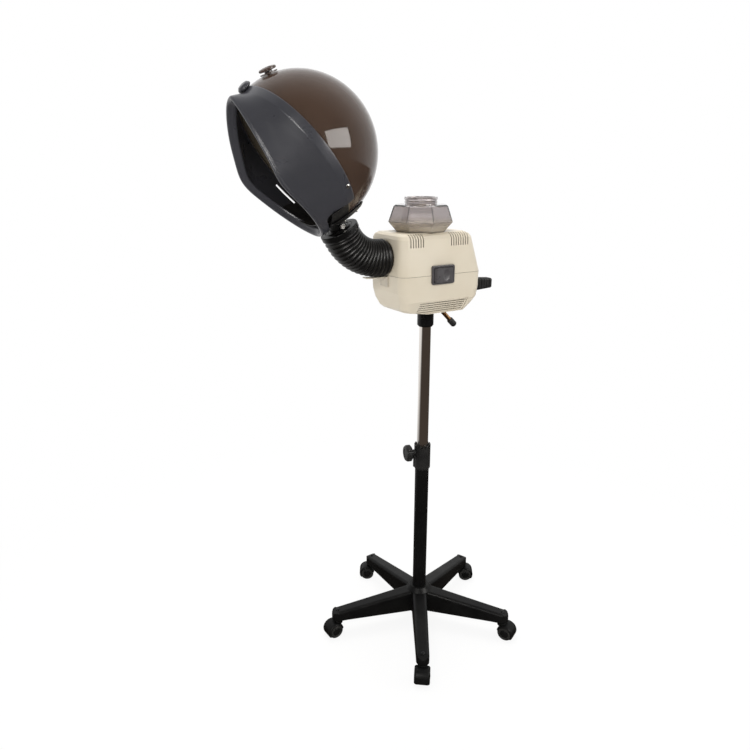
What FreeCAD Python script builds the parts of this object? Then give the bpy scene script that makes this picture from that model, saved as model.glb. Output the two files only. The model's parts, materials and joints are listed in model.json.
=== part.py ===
"""Salon hood steamer on a five-star caster stand.

Every piece is its own solid and goes to parts/NODE.step. Millimetres, +Z up.
The column stands at (column_x, column_y) from the middle of the footprint, so
the pieces are drawn about the column and moved there as they are written.
The hood and its hose lie towards -X, the switch faces -Y.
"""
import FreeCAD
import Part
import math
import os

from FreeCAD import Placement, Rotation, Vector

# Place of the column from the middle of the whole machine's footprint
column_x = 99.5
column_y = -15.5

# The heights below are counted from a level this far under the floor
floor_level = 11.0

# General clearances
running_gap = 0.05
slide_gap = 0.3

# Five-star base
arm_count = 5
star_turn = -122.7
arm_reach = 228.0
arm_tip_length = 15.0
arm_root_width = 40.0
arm_tip_width = 32.0
arm_root_top = 107.0
arm_tip_top = 82.5
arm_tip_bottom = 57.3
arm_root_bottom = 50.0
arm_wall = 4.0
arm_edge_radius = 8.0
hub_diameter = 68.0
hub_top = 118.0
hub_neck_diameter = 50.0
stem_boss_diameter = 22.0

# Twin-wheel casters
wheel_diameter = 38.0
wheel_width = 14.5
caster_web = 8.0
caster_trail = 13.5
caster_cover_wall = 2.2
caster_wheel_gap = 1.0
caster_side_gap = 0.6
caster_under_arm = 0.3
caster_neck_diameter = 21.0
axle_diameter = 6.0
stem_diameter = 11.0
stem_depth_in_arm = 19.0
stem_depth_in_caster = 11.5
caster_turns = [-128.0, -64.0, -35.0, 148.0, -178.0]

# Lower tube, collar and clamp knob
lower_tube_diameter = 35.0
lower_tube_wall = 2.0
lower_tube_bottom = 54.0
lower_tube_top = 487.0
bush_length = 60.0
bush_flange = 3.0
collar_diameter = 41.0
collar_bottom = 461.0
collar_top = 529.0
collar_chamfer = 3.0
collar_teeth = 14
collar_tooth_depth = 8.0
knob_turn = 165.0
knob_height = 507.0
knob_diameter = 42.0
knob_thickness = 17.0
knob_lobes = 7
knob_stud_diameter = 8.0
knob_neck = 7.0
ridge_turn = 148.5
ridge_width = 7.0
ridge_height = 2.2

# Sliding chrome tube
chrome_diameter = 28.0
chrome_wall = 1.5
chrome_bottom = 313.0
chrome_top = 867.0
plug_length = 14.0
pivot_cap = 3.0

# Swivel socket under the housing
socket_diameter = 39.0
socket_bottom = 833.0
socket_thread_diameter = 32.0
socket_nut_diameter = 43.0
socket_nut_height = 6.0

# Housing, two shells that meet at the parting line
housing_wall = 3.0
floor_height = 872.0
floor_break_x = -25.0
floor_left_slope = 8.8
chamfer_height = 907.0
parting_height = 965.0
roof_edge_height = 1044.0
roof_height = 1056.0
housing_left = 115.0
housing_right = 109.0
housing_half_depth = 70.0
floor_left = 79.0
floor_right = 84.0
floor_half_depth = 45.0
roof_left = 114.0
roof_right = 84.0
roof_half_depth = 66.0
corner_radius = 22.0
parting_groove = 0.8
boss_diameter = 10.0
screw_diameter = 4.0
screw_seat = 3.0
vent_slot_width = 2.4
vent_slot_bottom = 1027.0
vent_left_start = -91.0
vent_left_count = 6
vent_right_start = 18.0
vent_right_count = 8
vent_pitch = 6.6
louvre_length = 128.0
louvre_width = 3.0
louvre_pitch = 6.8
louvre_count = 5

# Rocker switch
switch_x = -6.0
switch_width = 62.0
switch_height = 42.0
switch_frame = 3.0
switch_stand = 4.0
rocker_stand = 10.0
rocker_gap = 0.9
rocker_depth = 9.0
switch_depth = 18.0
switch_sleeve = 1.2
switch_pin_diameter = 3.0
switch_pin_back = 4.0
rocker_side_gap = 1.6
rocker_swing_gap = 0.5

# Rear grip
grip_length = 83.0
grip_height = 36.0
grip_tip_height = 24.0
grip_width = 30.0
grip_z = 922.0
grip_rib_count = 7
grip_rib_depth = 1.4

# Boiler and water feed inside the housing
boiler_x = -20.0
boiler_diameter = 90.0
boiler_bottom = 895.0
boiler_height = 80.0
boiler_wall = 1.5
lid_thickness = 4.0
element_diameter = 8.0
element_leg_diameter = 7.0
element_ring_diameter = 56.0
element_lift = 12.0
steam_pipe_diameter = 22.0
steam_pipe_wall = 1.5
steam_pipe_bend = 18.0
steam_pipe_offset = 28.0
feed_pipe_diameter = 14.0
feed_pipe_wall = 1.5
seat_diameter = 27.2
seat_flange_diameter = 36.0
drain_diameter = 10.0
drain_wall = 1.5
drain_lean = 43.1
drain_turn = -14.0
drain_inlet_x = 8.0
drain_inlet_y = -14.0
drain_length = 75.4
drain_cap_diameter = 15.0
drain_cap_length = 21.0
drain_cap_overlap = 9.0

# Water jar
jar_width = 154.0
jar_shoulder_width = 130.0
jar_foot_width = 114.0
jar_waist_height = 1078.0
jar_shoulder_height = 1111.0
jar_wall = 3.5
jar_sides = 8
jar_turn = 31.5
jar_neck_diameter = 71.0
jar_bead_diameter = 75.0
jar_neck_top = 1130.5
jar_spout_diameter = 16.0
jar_spout_length = 9.0

# Steam outlet, support arm and hose
outlet_height = 1003.0
spigot_diameter = 67.4
spigot_wall = 3.2
spigot_depth = 15.0
pivot_set_out = 9.0
pivot_pin_diameter = 8.0
clevis_gap = 12.6
clevis_wall = 4.0
arm_tube_diameter = 16.0
arm_bend_radius = 100.0
hose_diameter = 82.0
hose_root_diameter = 74.0
hose_bore = 68.0
hose_ribs = 15
ring_points = 28
neck_angle = 62.0
cuff_height = 12.0
cuff_diameter = 84.0
cuff_spigot_depth = 8.0
rest_reach = 52.0
rest_width = 18.0
rest_thickness = 2.5
rest_rise = 1.5

# Hood, drawn about its centre with the mouth along the local +Z
hood_x = -310.0
hood_z = 1220.0
mouth_tilt = 38.0
dome_radius = 151.0
dome_wall = 3.0
dome_edge = 22.0
visor_wall = 2.7
visor_seam = 11.0
slot_shift = 10.5
slot_width = 5.0
slot_start = 50.0
slot_end = 104.0
visor_crease = 28.0
mouth_long_radius = 146.5
mouth_short_radius = 101.0
mouth_roundness = 1.75
mouth_skew = 12.0
mouth_apex = 106.0
mouth_apex_shift = 5.0
mouth_upper_slope = 0.315
mouth_lower_slope = 0.205
mouth_apex_softness = 12.0
mouth_peak = 11.0
mouth_peak_drop = 9.0
mouth_peak_sharpness = 8.0
lip_width = 14.0
lip_depth = 12.0
liner_gap = 7.0
liner_wall = 2.0
notch_height = 98.0
notch_front = 70.0
notch_front_lean = 0.2
notch_radius = 12.0
saddle_height = 125.0
saddle_front = 58.0
saddle_back = 12.0
apron_height = 98.5
apron_wall = 3.5
apron_bond = 0.2
saddle_wall = 3.7
saddle_screw_side = 50.0
saddle_screw_spread = 17.0
nozzle_wall = 2.0
nozzle_inner_end = 134.0
neck_port_diameter = 30.0
neck_pivot_distance = 162.5
neck_pin_diameter = 6.0
neck_eye_radius = 6.5
neck_lug_half_gap = 14.0
neck_lug_wall = 5.0
cheek_wall = 4.0
vent_dial_shift = -37.0
vent_dial_diameter = 34.0
vent_dial_height = 12.0
vent_dial_stud = 8.0
visor_screw_angle = 114.5
visor_knob_shift = 18.0
visor_knob_diameter = 28.0
visor_knob_height = 10.0
visor_knob_stud = 6.0
steam_hole_diameter = 5.0
steam_hole_count = 12
steam_hole_leans = [25.0, 50.0]

X = Vector(1, 0, 0)
Y = Vector(0, 1, 0)
Z = Vector(0, 0, 1)
ORIGIN = Vector(0, 0, 0)

nodes = {}


def cylinder(diameter, start, direction, length):
    """Solid rod from a start point along a direction."""
    return Part.makeCylinder(diameter / 2.0, length, start, direction)


def pipe(outer, inner, start, direction, length):
    """Open tube from a start point along a direction."""
    return cylinder(outer, start, direction, length).cut(cylinder(inner, start, direction, length))


def box(x0, x1, y0, y1, z0, z1):
    return Part.makeBox(x1 - x0, y1 - y0, z1 - z0, Vector(x0, y0, z0))


def revolve(profile, axis_point, axis):
    """Full turn of a closed polygon of points."""
    wire = Part.makePolygon(profile + [profile[0]])
    return Part.Face(wire).revolve(axis_point, axis, 360)


def turned(profile, base=ORIGIN, direction=Z):
    """Solid of revolution from (radius, height) pairs, stood along a direction."""
    points = [Vector(radius, 0, height) for radius, height in profile]
    solid = revolve(points, ORIGIN, Z)
    solid.Placement = Placement(base, Rotation(Z, direction))
    return solid


def rounded_outline(x0, x1, y0, y1, radius, height):
    """Closed wire: a rectangle with round corners at one height."""
    corners = [(x1, y1, 0), (x0, y1, 90), (x0, y0, 180), (x1, y0, 270)]
    edges = []
    ends = []
    for x, y, turn in corners:
        sx = 1 if x == x1 else -1
        sy = 1 if y == y1 else -1
        centre = Vector(x - sx * radius, y - sy * radius, height)
        arc = Part.Arc(*[centre + Vector(radius * math.cos(math.radians(turn + a)),
                                         radius * math.sin(math.radians(turn + a)), 0)
                         for a in (0, 45, 90)])
        edges.append(arc.toShape())
        ends.append((arc.StartPoint, arc.EndPoint))
    ring = []
    for index, edge in enumerate(edges):
        ring.append(edge)
        following = ends[(index + 1) % len(ends)]
        ring.append(Part.LineSegment(ends[index][1], following[0]).toShape())
    return Part.Wire(ring)


def polygon_wire(sides, width, height, centre, turn):
    """Regular polygon, width across its corners."""
    points = []
    for index in range(sides + 1):
        angle = math.radians(turn + 360.0 * index / sides)
        points.append(Vector(centre.x + width / 2.0 * math.cos(angle),
                             centre.y + width / 2.0 * math.sin(angle), height))
    return Part.makePolygon(points)


def ring_of(shape, count, turn=0.0, centre=ORIGIN):
    """Copies of one shape, evenly spaced round Z."""
    copies = []
    for index in range(count):
        copy = shape.copy()
        copy.rotate(centre, Z, turn + 360.0 * index / count)
        copies.append(copy)
    return copies


def keep(name, shape):
    nodes[name] = shape


# Five-star base

def star_arm():
    """One hollow arm along +X, open below like a moulded one."""
    nose = arm_tip_length
    side = Part.makePolygon([
        Vector(0, 0, arm_root_bottom),
        Vector(0, 0, arm_root_top),
        Vector(hub_diameter / 2.0, 0, arm_root_top),
        Vector(arm_reach, 0, arm_tip_top),
        Vector(arm_reach + nose * 0.7, 0, arm_tip_top - nose * 0.25),
        Vector(arm_reach + nose, 0, arm_tip_top - nose * 0.7),
        Vector(arm_reach + nose, 0, arm_tip_bottom),
        Vector(arm_reach - 1.6 * nose, 0, arm_tip_bottom),
        Vector(hub_diameter / 2.0, 0, arm_root_bottom),
        Vector(0, 0, arm_root_bottom)])
    slab = Part.Face(side).extrude(Vector(0, arm_root_width * 2, 0))
    slab.translate(Vector(0, -arm_root_width, 0))
    tip = arm_tip_width / 2.0
    root = arm_root_width / 2.0
    outline = Part.Wire([
        Part.LineSegment(Vector(0, -root, 0), Vector(arm_reach, -tip, 0)).toShape(),
        Part.Arc(Vector(arm_reach, -tip, 0), Vector(arm_reach + nose, 0, 0),
                 Vector(arm_reach, tip, 0)).toShape(),
        Part.LineSegment(Vector(arm_reach, tip, 0), Vector(0, root, 0)).toShape(),
        Part.LineSegment(Vector(0, root, 0), Vector(0, -root, 0)).toShape()])
    plan = Part.Face(outline).extrude(Vector(0, 0, hub_top * 2))
    arm = slab.common(plan)
    top_edges = [edge for edge in arm.Edges
                 if edge.CenterOfMass.x > hub_diameter / 2.0
                 and edge.BoundBox.XLength > arm_reach / 2.0
                 and edge.CenterOfMass.z > (arm_root_top + arm_tip_bottom) / 2.0]
    arm = arm.makeFillet(arm_edge_radius, top_edges)
    inner_length = arm_reach - stem_boss_diameter
    channel = Part.makePolygon([
        Vector(0, 0, arm_root_bottom - 1),
        Vector(0, 0, arm_root_top - 2 * arm_wall),
        Vector(inner_length, 0, arm_tip_top - 1.6 * arm_wall),
        Vector(inner_length, 0, arm_root_bottom - 1),
        Vector(0, 0, arm_root_bottom - 1)])
    half = arm_tip_width / 2.0 - arm_wall
    hollow = Part.Face(channel).extrude(Vector(0, 2 * half, 0))
    hollow.translate(Vector(0, -half, 0))
    return arm.cut(hollow)


def stem_points():
    angles = [math.radians(star_turn + 360.0 * index / arm_count) for index in range(arm_count)]
    return [Vector(arm_reach * math.cos(angle), arm_reach * math.sin(angle), 0) for angle in angles]


def star_base():
    hub = turned([(0, arm_root_bottom - 2), (hub_diameter / 2.0, arm_root_bottom - 2),
                  (hub_diameter / 2.0, arm_root_top), (hub_neck_diameter / 2.0, hub_top), (0, hub_top)])
    star = hub.fuse(ring_of(star_arm(), arm_count, star_turn)).removeSplitter()
    star = star.cut(cylinder(lower_tube_diameter, Vector(0, 0, lower_tube_bottom), Z, hub_top))
    star = star.cut(cylinder(lower_tube_diameter - 8, Vector(0, 0, 0), Z, hub_top))
    for point in stem_points():
        start = Vector(point.x, point.y, arm_tip_bottom - 1)
        star = star.cut(cylinder(stem_diameter, start, Z, stem_depth_in_arm + 1))
    return star


def caster(turn, base):
    """Body, wheels and axle of one caster about its stem, wheels trailing along turn."""
    axle_z = floor_level + wheel_diameter / 2.0
    neck_top = arm_tip_bottom - caster_under_arm
    socket_bottom_z = neck_top - stem_depth_in_caster
    cover_inner = wheel_diameter / 2.0 + caster_wheel_gap
    cover_outer = cover_inner + caster_cover_wall
    half_width = caster_web / 2.0 + caster_side_gap + wheel_width
    axle_point = Vector(caster_trail, -half_width, axle_z)
    drum = cylinder(2 * cover_outer, axle_point, Y, 2 * half_width)
    inner = cylinder(2 * cover_inner, axle_point, Y, 2 * half_width)
    web = cylinder(2 * cover_inner - 1, Vector(caster_trail, -caster_web / 2.0, axle_z), Y, caster_web)
    lower_limit = Part.Face(Part.makePolygon([
        Vector(caster_trail, -100, axle_z), Vector(caster_trail + 100, -100, axle_z - 62),
        Vector(caster_trail + 100, -100, axle_z + 200), Vector(caster_trail - 100, -100, axle_z + 200),
        Vector(caster_trail - 100, -100, axle_z + 24), Vector(caster_trail, -100, axle_z)]))
    cover = drum.cut(inner).common(lower_limit.extrude(Vector(0, 200, 0)))
    neck = cylinder(caster_neck_diameter, Vector(0, 0, socket_bottom_z - 3), Z, stem_depth_in_caster + 3)
    neck = neck.cut(cylinder(2 * cover_inner, axle_point, Y, half_width - caster_web / 2.0))
    far_side = Vector(caster_trail, caster_web / 2.0, axle_z)
    neck = neck.cut(cylinder(2 * cover_inner, far_side, Y, half_width))
    web_trim = box(-100, 100, -100, 100, floor_level + 5.0, 100)
    body = cover.fuse([web.common(web_trim), neck]).removeSplitter()
    body = body.cut(cylinder(stem_diameter + 2 * running_gap, Vector(0, 0, socket_bottom_z), Z, 100))
    body = body.cut(cylinder(axle_diameter, Vector(caster_trail, -50, axle_z), Y, 100))
    wheels = []
    for side in (-1, 1):
        inner_face = caster_web / 2.0 + caster_side_gap
        radius = wheel_diameter / 2.0
        profile = [(axle_diameter / 2.0 + running_gap, inner_face),
                   (radius - 1.5, inner_face),
                   (radius, inner_face + 1.5),
                   (radius, inner_face + wheel_width - 3.0),
                   (radius - 3.0, inner_face + wheel_width),
                   (radius - 6.0, inner_face + wheel_width),
                   (radius - 7.5, inner_face + wheel_width - 1.5),
                   (6.0, inner_face + wheel_width - 0.6),
                   (axle_diameter / 2.0 + running_gap, inner_face + wheel_width - 0.6)]
        wheels.append(turned(profile, Vector(caster_trail, 0, axle_z), Vector(0, side, 0)))
    axle_half = caster_web / 2.0 + caster_side_gap + wheel_width - 1.5
    axle = cylinder(axle_diameter, Vector(caster_trail, -axle_half, axle_z), Y, 2 * axle_half)
    parts = [body, Part.makeCompound(wheels), axle]
    for part in parts:
        part.rotate(ORIGIN, Z, turn)
        part.translate(base)
    return parts


def build_base():
    keep("star_base", star_base())
    stems = []
    for index, point in enumerate(stem_points()):
        stem_bottom = arm_tip_bottom - caster_under_arm - stem_depth_in_caster + 0.4
        stem_top = arm_tip_bottom + stem_depth_in_arm - 0.5
        shaft = turned([(0, stem_bottom), (stem_diameter / 2.0 - 0.8, stem_bottom),
                        (stem_diameter / 2.0, stem_bottom + 0.8), (stem_diameter / 2.0, stem_top - 1.5),
                        (stem_diameter / 2.0 - 1.5, stem_top), (0, stem_top)])
        shaft.translate(point)
        stems.append(shaft)
        body, wheels, axle = caster(caster_turns[index], point)
        keep("caster_%d_body" % (index + 1), body)
        keep("caster_%d_wheels" % (index + 1), wheels)
        keep("caster_%d_axle" % (index + 1), axle)
    keep("caster_stems", Part.makeCompound(stems))


# Column

def build_column():
    tube_inner = lower_tube_diameter - 2 * lower_tube_wall
    keep("lower_tube", pipe(lower_tube_diameter, tube_inner, Vector(0, 0, lower_tube_bottom), Z,
                            lower_tube_top - lower_tube_bottom))
    bush_bore = chrome_diameter / 2.0 + running_gap
    keep("guide_bush", turned([(bush_bore, lower_tube_top - bush_length),
                               (tube_inner / 2.0, lower_tube_top - bush_length),
                               (tube_inner / 2.0, lower_tube_top),
                               (lower_tube_diameter / 2.0, lower_tube_top),
                               (lower_tube_diameter / 2.0, lower_tube_top + bush_flange),
                               (bush_bore, lower_tube_top + bush_flange)]))
    keep("clamp_collar", clamp_collar())
    keep("clamp_knob", clamp_knob())
    chrome_inner = chrome_diameter - 2 * chrome_wall
    keep("chrome_tube", pipe(chrome_diameter, chrome_inner, Vector(0, 0, chrome_bottom), Z,
                             chrome_top - chrome_bottom))
    keep("tube_end_plug", turned([(0, chrome_bottom - 3), (chrome_diameter / 2.0 - 1, chrome_bottom - 3),
                                  (chrome_diameter / 2.0, chrome_bottom), (chrome_inner / 2.0, chrome_bottom),
                                  (chrome_inner / 2.0, chrome_bottom + plug_length),
                                  (0, chrome_bottom + plug_length)]))
    keep("pivot_cap", turned([(0, chrome_top - plug_length), (chrome_inner / 2.0, chrome_top - plug_length),
                              (chrome_inner / 2.0, chrome_top), (chrome_diameter / 2.0, chrome_top),
                              (chrome_diameter / 2.0 - 1, chrome_top + pivot_cap), (0, chrome_top + pivot_cap)]))


def knob_direction():
    angle = math.radians(knob_turn)
    return Vector(math.cos(angle), math.sin(angle), 0)


def clamp_collar():
    radius = collar_diameter / 2.0
    bore = lower_tube_diameter / 2.0
    throat = chrome_diameter / 2.0 + slide_gap
    shoulder = lower_tube_top + bush_flange
    collar = turned([(bore, collar_bottom), (radius - collar_chamfer, collar_bottom),
                     (radius, collar_bottom + 1.6 * collar_chamfer), (radius, collar_top),
                     (radius - 1.6, collar_top + 1.6), (throat + 2.5, collar_top),
                     (throat, collar_top - 4.0), (throat, shoulder), (bore, shoulder)])
    half_pitch = math.pi * radius / collar_teeth
    valley = Part.Face(Part.makePolygon([
        Vector(throat - 2, 0, collar_top - collar_tooth_depth), Vector(throat - 2, half_pitch, collar_top + 2.5),
        Vector(throat - 2, -half_pitch, collar_top + 2.5),
        Vector(throat - 2, 0, collar_top - collar_tooth_depth)])).extrude(Vector(radius, 0, 0))
    collar = collar.cut(Part.makeCompound(ring_of(valley, collar_teeth)))
    ridge = box(radius - 2.0, radius + ridge_height, -ridge_width / 2.0, ridge_width / 2.0, collar_bottom + 5.0,
                knob_height - knob_stud_diameter)
    ridge_edges = [edge for edge in ridge.Edges if edge.CenterOfMass.x > radius + ridge_height - 0.1]
    ridge = ridge.makeFillet(1.2, ridge_edges)
    ridge.rotate(ORIGIN, Z, ridge_turn)
    collar = collar.fuse(ridge.cut(cylinder(2 * bore + 1, Vector(0, 0, 0), Z, 1000))).removeSplitter()
    boss = cylinder(knob_stud_diameter + 8, knob_direction() * (radius - 3.0) + Vector(0, 0, knob_height),
                    knob_direction(), 3.0 + 2.0)
    collar = collar.fuse(boss).removeSplitter()
    stud_hole = cylinder(knob_stud_diameter, Vector(0, 0, knob_height), knob_direction(), radius + 10)
    return collar.cut(stud_hole)


def clamp_knob():
    """Lobed hand knob on its threaded stud."""
    radius = knob_diameter / 2.0
    start = collar_diameter / 2.0 + 2.0 + slide_gap
    stud_start = chrome_diameter / 2.0 + slide_gap
    profile = [(0, stud_start), (knob_stud_diameter / 2.0 - 0.05, stud_start),
               (knob_stud_diameter / 2.0 - 0.05, start), (knob_stud_diameter / 2.0 + 3.5, start),
               (knob_stud_diameter / 2.0 + 3.5, start + knob_neck), (radius - 4, start + knob_neck),
               (radius, start + knob_neck + 3), (radius, start + knob_neck + knob_thickness - 5),
               (radius - 3, start + knob_neck + knob_thickness - 1), (radius * 0.55, start + knob_neck + knob_thickness),
               (radius * 0.45, start + knob_neck + knob_thickness - 1.5),
               (0, start + knob_neck + knob_thickness - 1.5)]
    knob = turned(profile)
    scallop = cylinder(radius * 0.42, Vector(radius * 1.1, 0, start + knob_neck - 1), Z, knob_thickness + 4)
    knob = knob.cut(Part.makeCompound(ring_of(scallop, knob_lobes, 180.0 / knob_lobes)))
    knob.Placement = Placement(Vector(0, 0, knob_height), Rotation(Z, knob_direction()))
    return knob


# Housing

def housing_form(inset):
    """Closed body of the housing, inset from its outer skin."""
    rise = chamfer_height - floor_height
    drop = roof_height - roof_edge_height
    sections = [
        (floor_height, floor_left, floor_right, floor_half_depth, 14.0),
        (floor_height + 0.5 * rise, floor_left + 0.6 * (housing_left - floor_left), floor_right + 12.5,
         floor_half_depth + 0.5 * (housing_half_depth - 1.0 - floor_half_depth), 18.0),
        (chamfer_height, housing_left - 8.0, housing_right - 5.0, housing_half_depth - 1.0, corner_radius),
        (0.65 * chamfer_height + 0.35 * parting_height, housing_left - 2.0, housing_right - 1.0,
         housing_half_depth - 0.5, corner_radius),
        (parting_height, housing_left, housing_right, housing_half_depth, corner_radius),
        (roof_edge_height, roof_left, roof_right, roof_half_depth, corner_radius - 2.0),
        (roof_edge_height + 0.6 * drop, roof_left - 2.0, roof_right - 4.5, roof_half_depth - 4.5,
         corner_radius - 3.0),
        (roof_height, roof_left - 8.0, roof_right - 15.0, roof_half_depth - 15.0, corner_radius - 8.0)]
    wires = []
    for index, (height, left, right, half, radius) in enumerate(sections):
        if index == 0:
            height += inset
        elif index == len(sections) - 1:
            height -= inset
        wires.append(rounded_outline(-left + inset, right - inset, -half + inset, half - inset,
                                     radius - min(inset, radius - 1.0) * 0.8, height))
    form = Part.makeLoft(wires, True, True)
    lean = math.radians(floor_left_slope)
    lift = inset / math.cos(lean)
    reach = 2 * housing_left
    slope = Part.Face(Part.makePolygon([
        Vector(floor_break_x, 0, floor_height + lift - 0.001), Vector(floor_break_x, 0, floor_height - 50),
        Vector(floor_break_x - reach, 0, floor_height - 50),
        Vector(floor_break_x - reach, 0, floor_height + lift + reach * math.tan(lean)),
        Vector(floor_break_x, 0, floor_height + lift - 0.001)]))
    wedge = slope.extrude(Vector(0, 4 * housing_half_depth, 0))
    wedge.translate(Vector(0, -2 * housing_half_depth, 0))
    return form.cut(wedge)


def boss_points():
    left = -floor_left + 11.0
    right = floor_right - 18.0
    half = floor_half_depth - 10.0
    return [Vector(left, -half, 0), Vector(left, half, 0), Vector(right, -half, 0), Vector(right, half, 0)]


def floor_at(x):
    """Height of the housing's outer floor, which climbs to the left of its break."""
    return floor_height + max(0.0, (floor_break_x - x) * math.tan(math.radians(floor_left_slope)))


def vent_slots():
    """Slots that wrap over the front top edge, in two groups."""
    slots = []
    for start, count in ((vent_left_start, vent_left_count), (vent_right_start, vent_right_count)):
        for index in range(count):
            x = start + index * vent_pitch
            slots.append(box(x - vent_slot_width / 2.0, x + vent_slot_width / 2.0,
                             -housing_half_depth - 5, -housing_half_depth + 17,
                             vent_slot_bottom, roof_height + 5))
    return slots


def louvre_slots():
    """Long slots in the front and back chamfers, in a shallow panel."""
    run = housing_half_depth - 1.0 - floor_half_depth
    rise = chamfer_height - floor_height
    slope = math.degrees(math.atan2(rise, run))
    length = math.hypot(run, rise)
    cuts = []
    centre = Vector((floor_right - floor_left) / 2.0, -floor_half_depth - run / 2.0, floor_height + rise / 2.0)
    panel = box(-louvre_length / 2.0 - 5, louvre_length / 2.0 + 5, -length / 2.0 + 2.5, length / 2.0 - 2.5, -1.0, 5)
    bars = [panel]
    for index in range(louvre_count):
        offset = (index - (louvre_count - 1) / 2.0) * louvre_pitch
        bars.append(box(-louvre_length / 2.0, louvre_length / 2.0, offset - louvre_width / 2.0,
                        offset + louvre_width / 2.0, -8, 5))
    for bar in bars:
        front = bar.copy()
        front.rotate(ORIGIN, X, 180.0 - slope)
        front.translate(centre)
        cuts.append(front)
        cuts.append(front.mirror(ORIGIN, Y))
    return cuts


def switch_opening():
    half_width = switch_width / 2.0 - switch_frame
    half_height = switch_height / 2.0 - switch_frame
    return box(switch_x - half_width, switch_x + half_width, -housing_half_depth - 5,
               -housing_half_depth + 12, parting_height - half_height, parting_height + half_height)


def drain_axis():
    """Inlet in the tank's floor and the direction down the drain pipe."""
    lean = math.radians(drain_lean)
    turn = math.radians(drain_turn)
    down = Vector(math.sin(lean) * math.cos(turn), math.sin(lean) * math.sin(turn), -math.cos(lean))
    return Vector(drain_inlet_x, drain_inlet_y, boiler_bottom + boiler_wall), down


def build_housing():
    outer = housing_form(0.0)
    inner = housing_form(housing_wall)
    shell = outer.cut(inner)
    shell = shell.cut(switch_opening())
    below = box(-400, 400, -400, 400, floor_height - 50, parting_height)
    above = box(-400, 400, -400, 400, parting_height, roof_height + 50)
    lower = shell.common(below)
    upper = shell.common(above)
    groove_band = box(-400, 400, -400, 400, parting_height - parting_groove, parting_height + 1)
    lower = lower.cut(groove_band.cut(housing_form(parting_groove)))
    for point in boss_points():
        foot = floor_at(point.x) + 1.0
        boss = cylinder(boss_diameter, Vector(point.x, point.y, foot), Z, parting_height - foot)
        lower = lower.fuse(boss)
        top_boss = cylinder(boss_diameter, Vector(point.x, point.y, parting_height), Z,
                            roof_height - parting_height - 1)
        upper = upper.fuse(top_boss.common(outer))
    lower = lower.removeSplitter()
    upper = upper.removeSplitter()
    for point in boss_points():
        foot = Vector(point.x, point.y, floor_at(point.x) - 2.0)
        lower = lower.cut(cylinder(screw_diameter + 0.4, foot, Z, 200))
        lower = lower.cut(cylinder(2 * screw_diameter + 0.6, foot, Z, 2.0 + screw_seat))
        upper = upper.cut(cylinder(screw_diameter, Vector(point.x, point.y, parting_height - 1), Z, 22.0))
    lower = lower.cut(Part.makeCompound(louvre_slots()))
    lower = lower.cut(cylinder(socket_thread_diameter + 0.4, Vector(0, 0, floor_height - 5), Z, 20))
    inlet, down = drain_axis()
    lower = lower.cut(cylinder(drain_diameter + 3, inlet + down * 12, down, 40))
    lower = lower.cut(cylinder(gland_hole(), gland_point() - Y * 15, Y, 30))
    upper = upper.cut(Part.makeCompound(vent_slots()))
    upper = upper.cut(cylinder(spigot_diameter + 0.8, Vector(-housing_left - 20, 0, outlet_height), X, 40))
    upper = upper.cut(cylinder(seat_diameter, Vector(boiler_x, 0, roof_height - 20), Z, 40))
    keep("housing_lower", lower)
    keep("housing_upper", upper)
    screws = []
    for point in boss_points():
        seat = floor_at(point.x) + screw_seat
        screw = cylinder(screw_diameter, Vector(point.x, point.y, seat), Z, parting_height + 20.0 - seat)
        head = turned([(0, -2.6), (screw_diameter - 0.6, -2.6), (screw_diameter, -1.8), (screw_diameter, 0), (0, 0)],
                      Vector(point.x, point.y, seat))
        screws.append(screw.fuse(head).removeSplitter())
    keep("housing_screws", Part.makeCompound(screws))


def gland_hole():
    return 14.0


def gland_point():
    return Vector(housing_right - 36.0, housing_half_depth - 2.0, chamfer_height + 16.0)


def build_fittings(outer):
    gland = pipe(gland_hole(), 8.0, gland_point() - Y * 9, Y, 26)
    nut = pipe(gland_hole() + 8, 8.0, gland_point() - Y * 3, Y, 9)
    gland = gland.fuse(nut.cut(outer)).removeSplitter()
    keep("cord_gland", gland)
    keep("head_socket", head_socket())
    nut_bottom = floor_height + housing_wall
    nut = Part.Face(polygon_wire(6, socket_nut_diameter, nut_bottom, ORIGIN, 0))
    nut = nut.extrude(Vector(0, 0, socket_nut_height))
    keep("socket_nut", nut.cut(cylinder(socket_thread_diameter + 2 * running_gap, Vector(0, 0, nut_bottom), Z, 20)))
    keep("switch_bezel", switch_bezel(outer))
    keep("switch_rocker", switch_rocker())
    keep("switch_pin", cylinder(switch_pin_diameter, switch_pivot() - Z * (switch_height / 2.0 - switch_frame), Z,
                                switch_height - 2 * switch_frame))
    keep("rear_grip", rear_grip(outer))


def head_socket():
    radius = socket_diameter / 2.0
    bore = chrome_diameter / 2.0 + running_gap
    thread = socket_thread_diameter / 2.0
    seat = chrome_top + pivot_cap
    top = floor_height + housing_wall + socket_nut_height + 3.0
    return turned([(bore, socket_bottom), (radius - 3.0, socket_bottom), (radius, socket_bottom + 4.0),
                   (radius, floor_height), (thread, floor_height), (thread, top),
                   (0, top), (0, seat), (bore, seat)])


def framed(width, height, radius, y0, y1):
    """Upright rounded plate in front of the switch, between two depths."""
    outline = rounded_outline(switch_x - width / 2.0, switch_x + width / 2.0, -height / 2.0, height / 2.0,
                              radius, 0)
    plate = Part.Face(outline).extrude(Vector(0, 0, y1 - y0))
    plate.rotate(ORIGIN, X, 90)
    plate.translate(Vector(0, y1, parting_height))
    return plate


def switch_pivot():
    return Vector(switch_x, -housing_half_depth + switch_pin_back, parting_height)


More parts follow.
